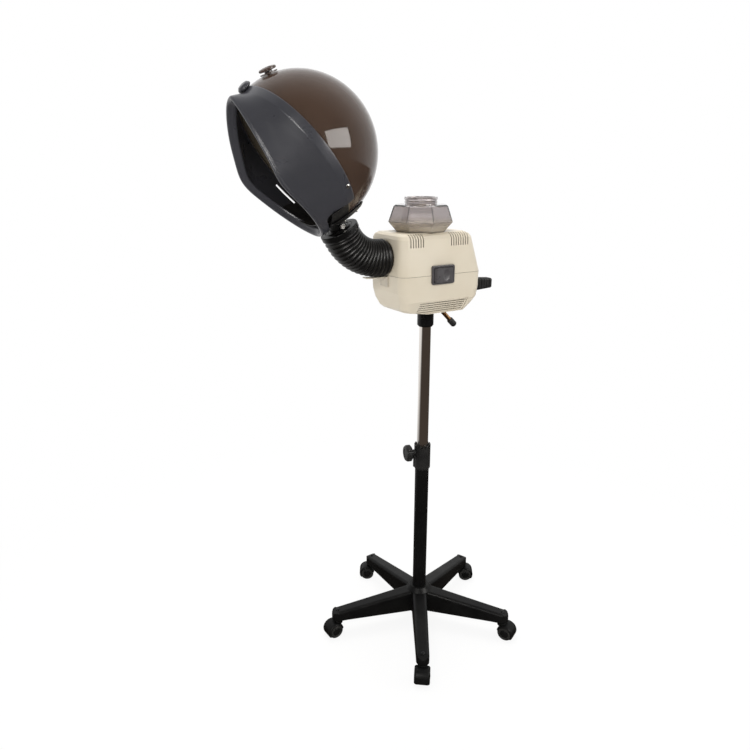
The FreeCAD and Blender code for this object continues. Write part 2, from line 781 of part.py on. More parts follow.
def switch_bezel(outer):
    """Frame on the housing with a closed sleeve through the opening behind it."""
    front = -housing_half_depth - switch_stand
    back = -housing_half_depth + switch_depth
    plate = framed(switch_width, switch_height, 5.0, front, -housing_half_depth + 3)
    rim = [edge for edge in plate.Edges if edge.CenterOfMass.y < front + 0.01]
    plate = plate.makeFillet(1.5, rim).cut(outer)
    width = switch_width - 2 * switch_frame
    height = switch_height - 2 * switch_frame
    sleeve = framed(width, height, 3.0, front + 2.0, back)
    pocket = framed(width - 2 * switch_sleeve, height - 2 * switch_sleeve, 2.0, front - 5, back - 2.0)
    bezel = plate.fuse(sleeve).removeSplitter().cut(pocket)
    return bezel.cut(cylinder(switch_pin_diameter, switch_pivot() - Z * 100, Z, 200))


def switch_rocker():
    """Rocker cap: a raised left half and a dished right half that slopes in."""
    width = switch_width - 2 * switch_frame - 2 * switch_sleeve - 2 * rocker_side_gap
    height = switch_height - 2 * switch_frame - 2 * switch_sleeve - 2 * rocker_gap
    front = -housing_half_depth - rocker_stand
    cap = framed(width, height, 3.0, front, front + rocker_depth + rocker_stand)
    slope_cut = Part.makePolygon([
        Vector(switch_x - 2.0, front - 0.01, 0), Vector(switch_x + width / 2.0 + 5, front - 0.01, 0),
        Vector(switch_x + width / 2.0 + 5, front + 4.5, 0), Vector(switch_x - 2.0, front - 0.01, 0)])
    wedge = Part.Face(slope_cut).extrude(Vector(0, 0, height + 10))
    wedge.translate(Vector(0, 0, parting_height - height / 2.0 - 5))
    cap = cap.cut(wedge)
    dish_radius = 40.0
    dish = Part.makeSphere(dish_radius, Vector(switch_x + width * 0.17, front + 3.0 - dish_radius, parting_height))
    cap = cap.cut(dish)
    swing_radius = switch_width / 2.0 - switch_frame - switch_sleeve - rocker_swing_gap
    cap = cap.common(cylinder(2 * swing_radius, switch_pivot() - Z * height, Z, 2 * height))
    return cap.cut(cylinder(switch_pin_diameter + 2 * running_gap, switch_pivot() - Z * 100, Z, 200))


def rear_grip(outer):
    """Tapered hand grip with ribs across it, on the right-hand face."""
    start = housing_right - 12.0
    end = housing_right + grip_length
    wires = []
    for x, tall, deep in ((start, grip_height, grip_width), (end, grip_tip_height, grip_width * 0.8)):
        outline = rounded_outline(-tall / 2.0, tall / 2.0, -deep / 2.0, deep / 2.0, 5.0, 0)
        outline.rotate(ORIGIN, Y, 90)
        outline.translate(Vector(x, 0, grip_z - (grip_height - tall) * 0.1))
        wires.append(outline)
    grip = Part.makeLoft(wires, True, True)
    end_face = [edge for edge in grip.Edges if edge.CenterOfMass.x > end - 0.01]
    grip = grip.makeFillet(3.0, end_face)
    ribs = []
    first = housing_right + 22.0
    pitch = (grip_length - 32.0) / (grip_rib_count - 1)
    for index in range(grip_rib_count):
        x = first + index * pitch
        ring = box(x - pitch * 0.22, x + pitch * 0.22, -grip_width, grip_width, grip_z - grip_height,
                   grip_z + grip_height)
        share = (x - start) / (end - start)
        tall = grip_height + share * (grip_tip_height - grip_height) - 2 * grip_rib_depth
        deep = grip_width * (1 - 0.2 * share) - 2 * grip_rib_depth
        core = box(x - pitch, x + pitch, -deep / 2.0, deep / 2.0, grip_z - tall / 2.0 - share * 1.2,
                   grip_z + tall / 2.0 - share * 1.2)
        ribs.append(ring.cut(core))
    return grip.cut(Part.makeCompound(ribs)).cut(outer)


# Boiler and water feed

def boiler_centre(height):
    return Vector(boiler_x, 0, height)


def build_boiler():
    top = boiler_bottom + boiler_height
    radius = boiler_diameter / 2.0
    element_radius = element_ring_diameter / 2.0
    legs = [Vector(boiler_x, side * element_radius, 0) for side in (-1, 1)]
    tank = turned([(0, 0), (radius, 0), (radius, boiler_height), (radius - boiler_wall, boiler_height),
                   (radius - boiler_wall, boiler_wall), (0, boiler_wall)], boiler_centre(boiler_bottom))
    for leg in legs:
        tank = tank.cut(cylinder(element_leg_diameter, Vector(leg.x, leg.y, boiler_bottom - 5), Z, 10))
    inlet, down = drain_axis()
    tank = tank.cut(cylinder(drain_diameter, inlet - down * 12, down, 40))
    keep("boiler_tank", tank)
    steam_x = boiler_x - steam_pipe_offset
    lid = turned([(0, 0), (radius + 2, 0), (radius + 2, lid_thickness - 1), (radius + 1, lid_thickness),
                  (0, lid_thickness)], boiler_centre(top))
    lid = lid.cut(cylinder(feed_pipe_diameter, boiler_centre(top - 1), Z, 20))
    lid = lid.cut(cylinder(steam_pipe_diameter, Vector(steam_x, 0, top - 1), Z, 20))
    keep("boiler_lid", lid)
    ring = Part.makeTorus(element_radius, element_diameter / 2.0, boiler_centre(boiler_bottom + element_lift))
    posts = [cylinder(element_leg_diameter, Vector(leg.x, leg.y, boiler_bottom - 5), Z, element_lift + 5)
             for leg in legs]
    keep("heating_element", ring.fuse(posts).removeSplitter())
    stand = pipe(boiler_diameter - 2, boiler_diameter - 7, boiler_centre(floor_height + housing_wall), Z,
                 boiler_bottom - floor_height - housing_wall)
    stand = stand.cut(box(boiler_x + 12, boiler_x + 100, -60, -6, floor_height, boiler_bottom + 5))
    keep("boiler_stand", stand.common(housing_form(housing_wall)))
    keep("thermostat", turned([(0, 0), (9, 0), (9, 2), (6.5, 2), (6.5, 8.0), (0, 8.0)],
                              Vector(boiler_x - 24, 0, boiler_bottom - 8)))
    pipe_end_x = -housing_left + housing_wall + 12.0
    keep("steam_pipe", steam_pipe(steam_x, top, pipe_end_x))
    feed_top = roof_height - jar_spout_length - 1.0
    feed_bottom = top - 12.0
    keep("feed_pipe", pipe(feed_pipe_diameter, feed_pipe_diameter - 2 * feed_pipe_wall,
                           boiler_centre(feed_bottom), Z, feed_top - feed_bottom))
    under_roof = roof_height - housing_wall
    seat_bore = jar_spout_diameter / 2.0 + 2 * slide_gap
    keep("jar_seat", turned([(feed_pipe_diameter / 2.0, feed_top - 6.0), (seat_diameter / 2.0, feed_top - 6.0),
                             (seat_diameter / 2.0, under_roof - 3.0), (seat_flange_diameter / 2.0, under_roof - 3.0),
                             (seat_flange_diameter / 2.0, under_roof), (seat_diameter / 2.0, under_roof),
                             (seat_diameter / 2.0, roof_height - 0.4), (seat_bore, roof_height - 0.4),
                             (seat_bore, feed_top), (feed_pipe_diameter / 2.0, feed_top)],
                            boiler_centre(0)))
    drain = pipe(drain_diameter, drain_diameter - 2 * drain_wall, inlet - down * 10, down, drain_length + 10)
    keep("drain_pipe", drain.common(box(-400, 400, -400, 400, 0, inlet.z)))
    cap_radius = drain_cap_diameter / 2.0
    bore = drain_diameter / 2.0 + running_gap
    cap = turned([(bore, 0), (cap_radius - 1, 0), (cap_radius, 1.5), (cap_radius, drain_cap_length - 3),
                  (cap_radius - 2.5, drain_cap_length), (0, drain_cap_length),
                  (0, drain_cap_overlap + 1.0), (bore, drain_cap_overlap + 1.0)])
    flute = cylinder(1.6, Vector(cap_radius + 0.3, 0, 4), Z, drain_cap_length)
    cap = cap.cut(Part.makeCompound(ring_of(flute, 12)))
    cap.Placement = Placement(inlet + down * (drain_length - drain_cap_overlap), Rotation(Z, down))
    keep("drain_cap", cap)
    keep("terminal_block", box(36, 54, -20, 20, floor_height + housing_wall, floor_height + housing_wall + 13))


def steam_pipe(x, top, end_x):
    """Elbow from the boiler lid to the outlet."""
    bend = steam_pipe_bend
    turn_height = outlet_height - bend
    corner = Part.Arc(Vector(x, 0, turn_height),
                      Vector(x - bend * (1 - math.cos(math.pi / 4)), 0, turn_height + bend * math.sin(math.pi / 4)),
                      Vector(x - bend, 0, outlet_height))
    path = Part.Wire([Part.LineSegment(Vector(x, 0, top - 2), Vector(x, 0, turn_height)).toShape(),
                      corner.toShape(),
                      Part.LineSegment(Vector(x - bend, 0, outlet_height), Vector(end_x, 0, outlet_height)).toShape()])
    outer = path.makePipeShell([Part.Wire(Part.makeCircle(steam_pipe_diameter / 2.0, Vector(x, 0, top - 2), Z))],
                               True, False)
    inner = path.makePipeShell([Part.Wire(Part.makeCircle(steam_pipe_diameter / 2.0 - steam_pipe_wall,
                                                          Vector(x, 0, top - 2), Z))], True, False)
    return outer.cut(inner)


# Water jar

def build_jar():
    centre = boiler_centre(0)
    levels = [(roof_height, jar_foot_width), (jar_waist_height, jar_width),
              (jar_shoulder_height, jar_shoulder_width),
              (jar_shoulder_height + 3.0, jar_shoulder_width - 8.0)]
    outer = Part.makeLoft([polygon_wire(jar_sides, width, height, centre, jar_turn)
                           for height, width in levels], True, True)
    wall = 2 * jar_wall
    inner_levels = [(roof_height + jar_wall, jar_foot_width - wall + 2.5), (jar_waist_height, jar_width - wall),
                    (jar_shoulder_height - 1.0, jar_shoulder_width - wall)]
    inner = Part.makeLoft([polygon_wire(jar_sides, width, height, centre, jar_turn)
                           for height, width in inner_levels], True, True)
    neck_radius = jar_neck_diameter / 2.0
    bead = jar_bead_diameter / 2.0
    top = jar_neck_top
    root = jar_shoulder_height - 0.5
    neck = turned([(0, root), (neck_radius + 1.0, root), (neck_radius, root + 5), (neck_radius, top - 13),
                   (bead - 0.6, top - 12), (bead - 0.6, top - 9.5), (neck_radius, top - 8.5),
                   (neck_radius, top - 7), (bead, top - 5.5), (bead, top - 1.5), (bead - 1.5, top),
                   (0, top)], centre)
    spout = cylinder(jar_spout_diameter, boiler_centre(roof_height - jar_spout_length), Z,
                     jar_spout_length + 1)
    jar = outer.fuse([neck, spout]).removeSplitter()
    jar = jar.cut(inner)
    jar = jar.cut(cylinder(jar_neck_diameter - wall, boiler_centre(root - 2), Z, 60))
    spout_bore = jar_spout_diameter - 4.0
    jar = jar.cut(cylinder(spout_bore, boiler_centre(roof_height - jar_spout_length - 1), Z,
                           jar_spout_length + 8))
    keep("water_jar", jar)


# Steam outlet, support arm and hose

def neck_direction():
    angle = math.radians(neck_angle)
    return Vector(math.cos(angle), 0, -math.sin(angle))


def hood_centre():
    return Vector(hood_x, 0, hood_z)


def cuff_plane():
    """Distance of the cuff's upper face from the hood's centre."""
    return neck_pivot_distance + neck_eye_radius + 1.0


def lift_pivot():
    return Vector(-housing_left - pivot_set_out, 0, outlet_height)


def arm_corner():
    """Where the neck line and the outlet line cross."""
    start = hood_centre() + neck_direction() * cuff_plane()
    run = (start.z - outlet_height) / math.sin(math.radians(neck_angle))
    return start + neck_direction() * run


def arm_route(start_distance, end_x):
    """Edges of the centre line from the neck down round the bend to the outlet."""
    down = neck_direction()
    corner = arm_corner()
    tangent = arm_bend_radius * math.tan(math.radians(neck_angle) / 2.0)
    start = hood_centre() + down * start_distance
    bend_start = corner - down * tangent
    bend_end = corner + X * tangent
    bend_centre = bend_end + Z * arm_bend_radius
    middle_angle = math.radians(-90.0 - neck_angle / 2.0)
    middle = bend_centre + Vector(math.cos(middle_angle), 0, math.sin(middle_angle)) * arm_bend_radius
    finish = Vector(end_x, 0, outlet_height)
    return [Part.LineSegment(start, bend_start).toShape(),
            Part.Arc(bend_start, middle, bend_end).toShape(),
            Part.LineSegment(bend_end, finish).toShape()]


def route_frame(edges, distance):
    """Point and direction on the centre line at a distance from its start."""
    for edge in edges:
        if distance <= edge.Length + 1e-6:
            parameter = edge.getParameterByLength(min(distance, edge.Length))
            return edge.valueAt(parameter), edge.tangentAt(parameter)
        distance -= edge.Length
    last = edges[-1]
    return last.valueAt(last.LastParameter), last.tangentAt(last.LastParameter)


def route_circle(edges, distance, diameter):
    """Ring square to the centre line, its start always to +Y."""
    point, direction = route_frame(edges, distance)
    ring = Part.Circle(point, direction, diameter / 2.0)
    ring.XAxis = Y
    return Part.Wire([ring.toShape()])


def hose_route():
    return arm_route(cuff_plane() + cuff_height, -housing_left - slide_gap)


def hose():
    """Ribbed hose with its bore, ribs square to the bent centre line."""
    edges = hose_route()
    length = sum(edge.Length for edge in edges)
    margin = 4.0
    pitch = (length - 2 * margin) / hose_ribs
    rings = [route_circle(edges, 0.0, hose_root_diameter)]
    for index in range(hose_ribs):
        begin = margin + index * pitch
        rings.append(route_circle(edges, begin + 0.04 * pitch, hose_root_diameter))
        rings.append(route_circle(edges, begin + 0.28 * pitch, hose_diameter))
        rings.append(route_circle(edges, begin + 0.72 * pitch, hose_diameter))
        rings.append(route_circle(edges, begin + 0.96 * pitch, hose_root_diameter))
    rings.append(route_circle(edges, length, hose_root_diameter))
    outer = Part.makeLoft(rings, True, True)
    stations = 14
    bore = Part.makeLoft([route_circle(edges, length * index / stations, hose_bore)
                          for index in range(stations + 1)], True, True)
    print("hose length %.1f mm, %d ribs" % (length, hose_ribs))
    return outer.cut(bore)


def outlet_flange():
    """Steam outlet through the left face, with the clevis of the lift pivot in its bore."""
    pivot = lift_pivot()
    outer_end = -housing_left - spigot_depth
    inner_end = -housing_left + 12.0
    bore = spigot_diameter - 2 * spigot_wall
    ring = pipe(spigot_diameter, bore, Vector(outer_end, 0, outlet_height), X, inner_end - outer_end)
    flange = pipe(spigot_diameter + 12, bore, Vector(outer_end, 0, outlet_height), X, inner_end - outer_end - 3.0)
    flange = flange.common(housing_form(housing_wall))
    bar_x = inner_end - 6.0
    bar = box(bar_x, inner_end, -bore / 2.0 - 1, bore / 2.0 + 1, outlet_height - 8, outlet_height + 8)
    web = bar.common(cylinder(bore + 2, Vector(bar_x - 1, 0, outlet_height), X, 20))
    web = web.cut(cylinder(steam_pipe_diameter + 0.6, Vector(bar_x - 5, 0, outlet_height), X, 30))
    lugs = []
    for side in (-1, 1):
        inner = side * (clevis_gap / 2.0)
        outer = side * (clevis_gap / 2.0 + clevis_wall)
        plate = box(pivot.x, bar_x + 1, min(inner, outer), max(inner, outer), outlet_height - 8, outlet_height + 8)
        eye = cylinder(16, Vector(pivot.x, min(inner, outer), outlet_height), Y, clevis_wall)
        lugs.append(plate.fuse(eye))
    body = ring.fuse([flange, web] + lugs).removeSplitter()
    pin_hole = cylinder(pivot_pin_diameter, Vector(pivot.x, -40, outlet_height), Y, 80)
    return body.cut(pin_hole.common(cylinder(bore - 1, Vector(-400, 0, outlet_height), X, 800)))


def support_arm():
    """Bent tube inside the hose, with an eye at the housing and the cuff at the hood."""
    pivot = lift_pivot()
    down = neck_direction()
    edges = arm_route(cuff_plane() + 4.0, pivot.x)
    path = Part.Wire(edges)
    start, direction = route_frame(edges, 0.0)
    tube = path.makePipeShell([Part.Wire(Part.makeCircle(arm_tube_diameter / 2.0, start, direction))], True, False)
    eye_width = clevis_gap - 0.6
    slab = box(pivot.x - 60, pivot.x + 60, -eye_width / 2.0, eye_width / 2.0, outlet_height - 60, outlet_height + 60)
    near = box(pivot.x - 22, pivot.x + 30, -40, 40, outlet_height - 40, outlet_height + 40)
    tube = tube.cut(near.cut(slab))
    eye = cylinder(arm_tube_diameter, Vector(pivot.x, -eye_width / 2.0, outlet_height), Y, eye_width)
    bore = spigot_diameter - 2 * spigot_wall
    top = hood_centre() + down * cuff_plane()
    cuff = pipe(cuff_diameter, bore, top, down, cuff_height)
    cuff_edges = [edge for edge in cuff.Edges if abs(edge.Length - math.pi * cuff_diameter) < 0.1]
    cuff = cuff.makeFillet(1.5, cuff_edges)
    spigot = pipe(spigot_diameter, bore, top + down * (cuff_height - 1), down, cuff_spigot_depth)
    spoke = Part.makeBox(8, bore + 2, 8)
    spoke.translate(Vector(-4, -bore / 2.0 - 1, 0))
    spoke.Placement = Placement(top + down * 2.0, Rotation(Z, down)).multiply(spoke.Placement)
    arm = tube.fuse([eye, cuff, spigot, spoke])
    for side in (-1, 1):
        arm = arm.fuse(cheek(side))
    arm = arm.removeSplitter()
    arm = arm.cut(cylinder(pivot_pin_diameter + 2 * running_gap, Vector(pivot.x, -40, outlet_height), Y, 80))
    tilt = tilt_pivot()
    return arm.cut(cylinder(neck_pin_diameter + 2 * running_gap, Vector(tilt.x, -60, tilt.z), Y, 120))


def tilt_pivot():
    return hood_centre() + neck_direction() * neck_pivot_distance


def cheek(side):
    """Plate from the cuff up to the tilt pin, outside the hood's lug."""
    inner = neck_lug_half_gap + neck_lug_wall + 0.4
    tilt = tilt_pivot()
    y0 = inner if side > 0 else -inner - cheek_wall
    eye = cylinder(2 * neck_eye_radius, Vector(tilt.x, y0, tilt.z), Y, cheek_wall)
    plate = Part.makeBox(2 * neck_eye_radius, cheek_wall, neck_eye_radius + 3.0)
    plate.translate(Vector(-neck_eye_radius, 0, 0))
    plate.Placement = Placement(Vector(tilt.x, y0, tilt.z), Rotation(Z, neck_direction())).multiply(plate.Placement)
    return eye.fuse(plate)


def pivot_pin(pivot, diameter, half_length, head):
    """Pin along Y with a low head at each end."""
    shaft = cylinder(diameter, Vector(pivot.x, -half_length, pivot.z), Y, 2 * half_length)
    heads = [turned([(0, 0), (head / 2.0, 0), (head / 2.0, 2.0), (head / 2.0 - 1.0, 3.0), (0, 3.0)],
                    Vector(pivot.x, side * half_length, pivot.z), Vector(0, side, 0)) for side in (-1, 1)]
    return shaft.fuse(heads).removeSplitter()


def hose_rest(outer):
    """Bent steel tongue on the left face that the hose can rest on."""
    top = outlet_height - hose_diameter / 2.0 - 1.0
    bend = -housing_left - 0.6 * rest_reach
    tip = -housing_left - rest_reach
    plate = box(-housing_left - rest_thickness, -housing_left + 4, -rest_width / 2.0 - 6, rest_width / 2.0 + 6,
                top - 22, top)
    strip = Part.Face(Part.makePolygon([
        Vector(-housing_left, 0, top), Vector(bend, 0, top), Vector(tip, 0, top + rest_rise),
        Vector(tip, 0, top + rest_rise - rest_thickness), Vector(bend, 0, top - rest_thickness),
        Vector(-housing_left, 0, top - rest_thickness), Vector(-housing_left, 0, top)]))
    strip = strip.extrude(Vector(0, rest_width, 0))
    strip.translate(Vector(0, -rest_width / 2.0, 0))
    return plate.fuse(strip).removeSplitter().cut(outer)


def build_arm(outer):
    keep("outlet_flange", outlet_flange())
    keep("support_arm", support_arm())
    keep("lift_pin", pivot_pin(lift_pivot(), pivot_pin_diameter, clevis_gap / 2.0 + clevis_wall + 0.1, 13.0))
    keep("tilt_pin", pivot_pin(tilt_pivot(), neck_pin_diameter,
                               neck_lug_half_gap + neck_lug_wall + 0.4 + cheek_wall + 0.1, 12.0))
    keep("hose", hose())
    keep("hose_rest", hose_rest(outer))


# Hood

def hood_placement():
    return Placement(hood_centre(), Rotation(Y, -(90.0 + mouth_tilt)))


def smooth_ring(points):
    curve = Part.BSplineCurve()
    curve.interpolate(points, PeriodicFlag=True)
    return Part.Wire([curve.toShape()])


def mouth_ring(grow, lift):
    """Mouth outline, a pinched oval whose sides reach further forward than its ends."""
    points = []
    power = 2.0 / mouth_roundness
    for index in range(ring_points):
        angle = 2 * math.pi * index / ring_points
        cosine = math.cos(angle)
        sine = math.sin(angle)
        along = math.copysign(abs(cosine) ** power, cosine) * mouth_long_radius - mouth_skew * sine ** 2
        across = math.copysign(abs(sine) ** power, sine) * mouth_short_radius
        u = along - mouth_apex_shift
        soft = math.hypot(u, mouth_apex_softness) - mouth_apex_softness
        slope = mouth_upper_slope if u > 0 else mouth_lower_slope
        peak = max(0.0, cosine) ** mouth_peak_sharpness
        points.append(Vector(along + mouth_peak * peak + grow * cosine, across + grow * sine,
                             mouth_apex - slope * soft - mouth_peak_drop * peak + lift))
    return smooth_ring(points)


def circle_ring(radius, height):
    return smooth_ring([Vector(radius * math.cos(2 * math.pi * index / ring_points),
                               radius * math.sin(2 * math.pi * index / ring_points), height)
                        for index in range(ring_points)])


def sphere_ring(radius, height):
    return circle_ring(math.sqrt(radius ** 2 - height ** 2), height)


def visor_local():
    """Dark front of the hood: a round band over the dome that narrows to the mouth."""
    band_inner = dome_radius + slide_gap
    band_outer = band_inner + visor_wall
    middle = (visor_seam + visor_crease) / 2.0
    seam_outer = sphere_ring(band_outer, visor_seam)
    crease_outer = sphere_ring(band_outer, visor_crease)
    seam_inner = sphere_ring(band_inner, visor_seam)
    crease_inner = sphere_ring(band_inner, visor_crease)
    lip_outer = mouth_ring(3.5, -5.5)
    lip_inner = mouth_ring(-lip_width, -lip_depth)
    lip_edge = mouth_ring(-lip_width + 2.0, -lip_depth - 2.3)
    lip_root = mouth_ring(-0.6, -4.6)
    pieces = [
        Part.makeLoft([seam_outer, sphere_ring(band_outer, middle), crease_outer], False, False),
        Part.makeLoft([crease_outer, lip_outer], False, True),
        Part.makeLoft([lip_outer, mouth_ring(2.6, -1.8), mouth_ring(0, 0), mouth_ring(-0.3 * lip_width, -1.4),
                       mouth_ring(-0.66 * lip_width, -0.5 * lip_depth), lip_inner], False, False),
        Part.makeLoft([lip_inner, lip_edge], False, True),
        Part.makeLoft([lip_edge, lip_root], False, True),
        Part.makeLoft([lip_root, crease_inner], False, True),
        Part.makeLoft([crease_inner, sphere_ring(band_inner, middle), seam_inner], False, False),
        Part.makeLoft([seam_inner, seam_outer], False, True)]
    faces = []
    for piece in pieces:
        faces.extend(piece.Faces)
    skin = Part.makeCompound(faces)
    skin.sewShape(0.01)
    shell = skin.Shells[0] if skin.Shells else Part.Shell(skin.Faces)
    solid = Part.Solid(shell)
    solid.fix(0.01, 0.01, 0.01)
    if solid.Volume < 0:
        solid.reverse()
    return solid


def bowl_local(radius, wall, edge):
    """Thin round bowl about the local Z, open above its edge height."""
    inner = radius - wall
    outer_edge = math.sqrt(radius ** 2 - edge ** 2)
    inner_edge = math.sqrt(inner ** 2 - edge ** 2)
    slant = math.radians(-45.0)
    outer_mid = Vector(radius * math.cos(slant), 0, radius * math.sin(slant))
    inner_mid = Vector(inner * math.cos(slant), 0, inner * math.sin(slant))
    profile = Part.Wire([
        Part.Arc(Vector(0, 0, -radius), outer_mid, Vector(outer_edge, 0, edge)).toShape(),
        Part.LineSegment(Vector(outer_edge, 0, edge), Vector(inner_edge, 0, edge)).toShape(),
        Part.Arc(Vector(inner_edge, 0, edge), inner_mid, Vector(0, 0, -inner)).toShape(),
        Part.LineSegment(Vector(0, 0, -inner), Vector(0, 0, -radius)).toShape()])
    return Part.Face(profile).revolve(ORIGIN, Z, 360)


def liner_local():
    radius = dome_radius - dome_wall - liner_gap
    edge = dome_edge + liner_wall
    shell = bowl_local(radius, liner_wall, edge)
    rim_inner = math.sqrt((radius - liner_wall) ** 2 - dome_edge ** 2)
    rim_outer = math.sqrt(dome_radius ** 2 - edge ** 2)
    flange = turned([(rim_inner, dome_edge), (rim_outer, dome_edge), (rim_outer, edge), (rim_inner, edge)])
    liner = shell.fuse(flange).removeSplitter()
    hole = Part.makeCylinder(steam_hole_diameter / 2.0, 3 * liner_wall, Vector(0, 0, radius - 2 * liner_wall))
    holes = []
    for lean in steam_hole_leans:
        leaning = hole.copy()
        leaning.rotate(ORIGIN, Y, 180.0 - lean)
        holes.extend(ring_of(leaning, steam_hole_count, 15.0))
    return liner.cut(Part.makeCompound(holes))


def neck_cylinder(diameter, start, end):
    down = neck_direction()
    return cylinder(diameter, hood_centre() + down * start, down, end - start)


def neck_bracket():
    """Saddle under the dome with the steam nozzle and the two lugs of the tilt pin."""
    inner = dome_radius + running_gap
    outer = inner + saddle_wall
    down = neck_direction()
    place = hood_placement()
    saddle = Part.makeSphere(outer).cut(Part.makeSphere(inner))
    keep_zone = box(-400, -saddle_height, -200, 200, -saddle_back, saddle_front)
    saddle = saddle.common(keep_zone)
    apron = Part.makeSphere(inner + apron_bond).cut(Part.makeSphere(inner - apron_wall))
    apron = apron.common(box(-400, -apron_height, -200, 200, dome_edge + liner_wall + slide_gap, saddle_front))
    saddle = saddle.fuse(apron).removeSplitter()
    saddle.Placement = place
    nozzle_outer = neck_port_diameter + 2 * nozzle_wall
    nozzle_end = neck_pivot_distance + neck_eye_radius
    bracket = saddle.fuse(neck_cylinder(nozzle_outer, nozzle_inner_end, nozzle_end))
    tilt = tilt_pivot()
    root = outer - 1.5
    for side in (-1, 1):
        near = neck_lug_half_gap
        y0 = near if side > 0 else -near - neck_lug_wall
        eye = cylinder(2 * neck_eye_radius, Vector(tilt.x, y0, tilt.z), Y, neck_lug_wall)
        plate = Part.makeBox(2 * neck_eye_radius, neck_lug_wall, neck_pivot_distance - root)
        plate.translate(Vector(-neck_eye_radius, 0, root - neck_pivot_distance))
        plate.Placement = Placement(Vector(tilt.x, y0, tilt.z), Rotation(Z, down)).multiply(plate.Placement)
        bracket = bracket.fuse(eye.fuse(plate))
    bracket = bracket.removeSplitter()
    bracket = bracket.cut(neck_cylinder(neck_port_diameter, nozzle_inner_end - 1, nozzle_end + 1))
    for point, outward in saddle_screw_points():
        bracket = bracket.cut(cylinder(4.0, point - outward * 12, outward, 24))
    return bracket.cut(cylinder(neck_pin_diameter + 2 * running_gap, Vector(tilt.x, -60, tilt.z), Y, 120))


def saddle_screw_points():
    """Four screws of the saddle, two on each side, as points and outward directions."""
    surface = dome_radius + running_gap + saddle_wall
    place = hood_placement()
    found = []
    for side in (-1, 1):
        for forward in (saddle_screw_spread * 1.6, -saddle_screw_spread * 0.4):
            across = side * saddle_screw_side
            local = Vector(-math.sqrt(surface ** 2 - across ** 2 - forward ** 2), across, forward)
            outward = Vector(local)
            outward.normalize()
            found.append((place.multVec(local), place.Rotation.multVec(outward)))
    return found


def hood_point(forward, angle, radius):
    """Point and outward direction on the hood, angle counted from the top of the mouth."""
    ring = math.sqrt(radius ** 2 - forward ** 2)
    local = Vector(ring * math.cos(math.radians(angle)), ring * math.sin(math.radians(angle)), forward)
    outward = Vector(local)
    outward.normalize()
    place = hood_placement()
    return place.multVec(local), place.Rotation.multVec(outward)


def visor_notch():
    """Rounded cut at the visor's bottom that leaves room for the neck."""
    far = dome_radius + 60.0
    drop = (far - notch_height) * notch_front_lean
    profile = Part.Face(Part.makePolygon([
        Vector(-notch_height, 0, -far), Vector(-notch_height, 0, notch_front),
        Vector(-far, 0, notch_front - drop), Vector(-far, 0, -far), Vector(-notch_height, 0, -far)]))
    notch = profile.extrude(Vector(0, 2 * far, 0))
    notch.translate(Vector(0, -far, 0))
    corner = [edge for edge in notch.Edges
              if edge.BoundBox.YLength > far and abs(edge.CenterOfMass.x + notch_height) < 0.1
              and edge.CenterOfMass.z > 0]
    return notch.makeFillet(notch_radius, corner)


def visor_slot():
    """Long narrow slot through the visor's far side."""
    middle = visor_crease + slot_shift
    return box(-slot_end, -slot_start, 40, 200, middle - slot_width / 2.0, middle + slot_width / 2.0)


def build_hood():
    place = hood_placement()
    dome = bowl_local(dome_radius, dome_wall, dome_edge)
    dome.Placement = place
    liner = liner_local()
    liner.Placement = place
    visor = visor_local()
    visor.Placement = place
    notch = visor_notch()
    notch.Placement = place
    visor = visor.cut(notch)
    slot = visor_slot()
    slot.Placement = place
    visor = visor.cut(slot)
    nozzle_hole = neck_cylinder(neck_port_diameter + 2 * nozzle_wall + 2 * slide_gap, nozzle_inner_end - 5,
                                dome_radius + 10)
    dome = dome.cut(nozzle_hole)
    liner = liner.cut(nozzle_hole)
    screws = []
    for side in (-1, 1):
        point, outward = hood_point(visor_seam + 6.0, side * visor_screw_angle, dome_radius + slide_gap + visor_wall)
        hole = cylinder(4.2, point - outward * 12, outward, 24)
        dome = dome.cut(hole)
        visor = visor.cut(hole)
        shaft = cylinder(4.0, point - outward * 7.5, outward, 8.0)
        head = turned([(0, 0.2), (4.2, 0.2), (4.0, 1.4), (2.2, 2.6), (0, 2.8)], point, outward)
        screws.append(shaft.fuse(head).removeSplitter())
    for point, outward in saddle_screw_points():
        dome = dome.cut(cylinder(4.0, point - outward * 12, outward, 24))
        shaft = cylinder(4.0, point - outward * 7.5, outward, 8.0)
        head = turned([(0, 0.1), (3.6, 0.1), (3.4, 1.2), (1.8, 2.2), (0, 2.4)], point, outward)
        screws.append(shaft.fuse(head).removeSplitter())
    knob_point, knob_out = hood_point(visor_knob_shift, 0.0, dome_radius + slide_gap + visor_wall)
    knob_hole = cylinder(visor_knob_stud + 2 * running_gap, knob_point - knob_out * 12, knob_out, 24)
    dome = dome.cut(knob_hole)
    visor = visor.cut(knob_hole)
    dial_point, dial_out = hood_point(vent_dial_shift, 0.0, dome_radius)
    dome = dome.cut(cylinder(vent_dial_stud + 2 * running_gap, dial_point - dial_out * 12, dial_out, 24))
    keep("hood_dome", dome)
    keep("hood_liner", liner)
    keep("hood_visor", visor)
    keep("hood_screws", Part.makeCompound(screws))
    keep("neck_bracket", neck_bracket())
    keep("visor_knob", visor_knob(knob_point, knob_out))
    keep("vent_dial", vent_dial(dial_point, dial_out))


def visor_knob(point, outward):
    """Thumb knob that holds the top of the visor to the dome."""
    radius = visor_knob_diameter / 2.0
    stud = visor_knob_stud / 2.0
    profile = [(0, -8.0), (stud, -8.0), (stud, slide_gap), (radius - 3.0, slide_gap), (radius, 3.0),
               (radius - 0.5, visor_knob_height * 0.55), (radius - 4.0, visor_knob_height * 0.9),
               (radius - 8.0, visor_knob_height), (0, visor_knob_height)]
    knob = turned(profile)
    notch = cylinder(3.0, Vector(radius + 0.6, 0, 0), Z, visor_knob_height + 5)
    knob = knob.cut(Part.makeCompound(ring_of(notch, 10)))
    knob.Placement = Placement(point, Rotation(Z, outward))
    return knob


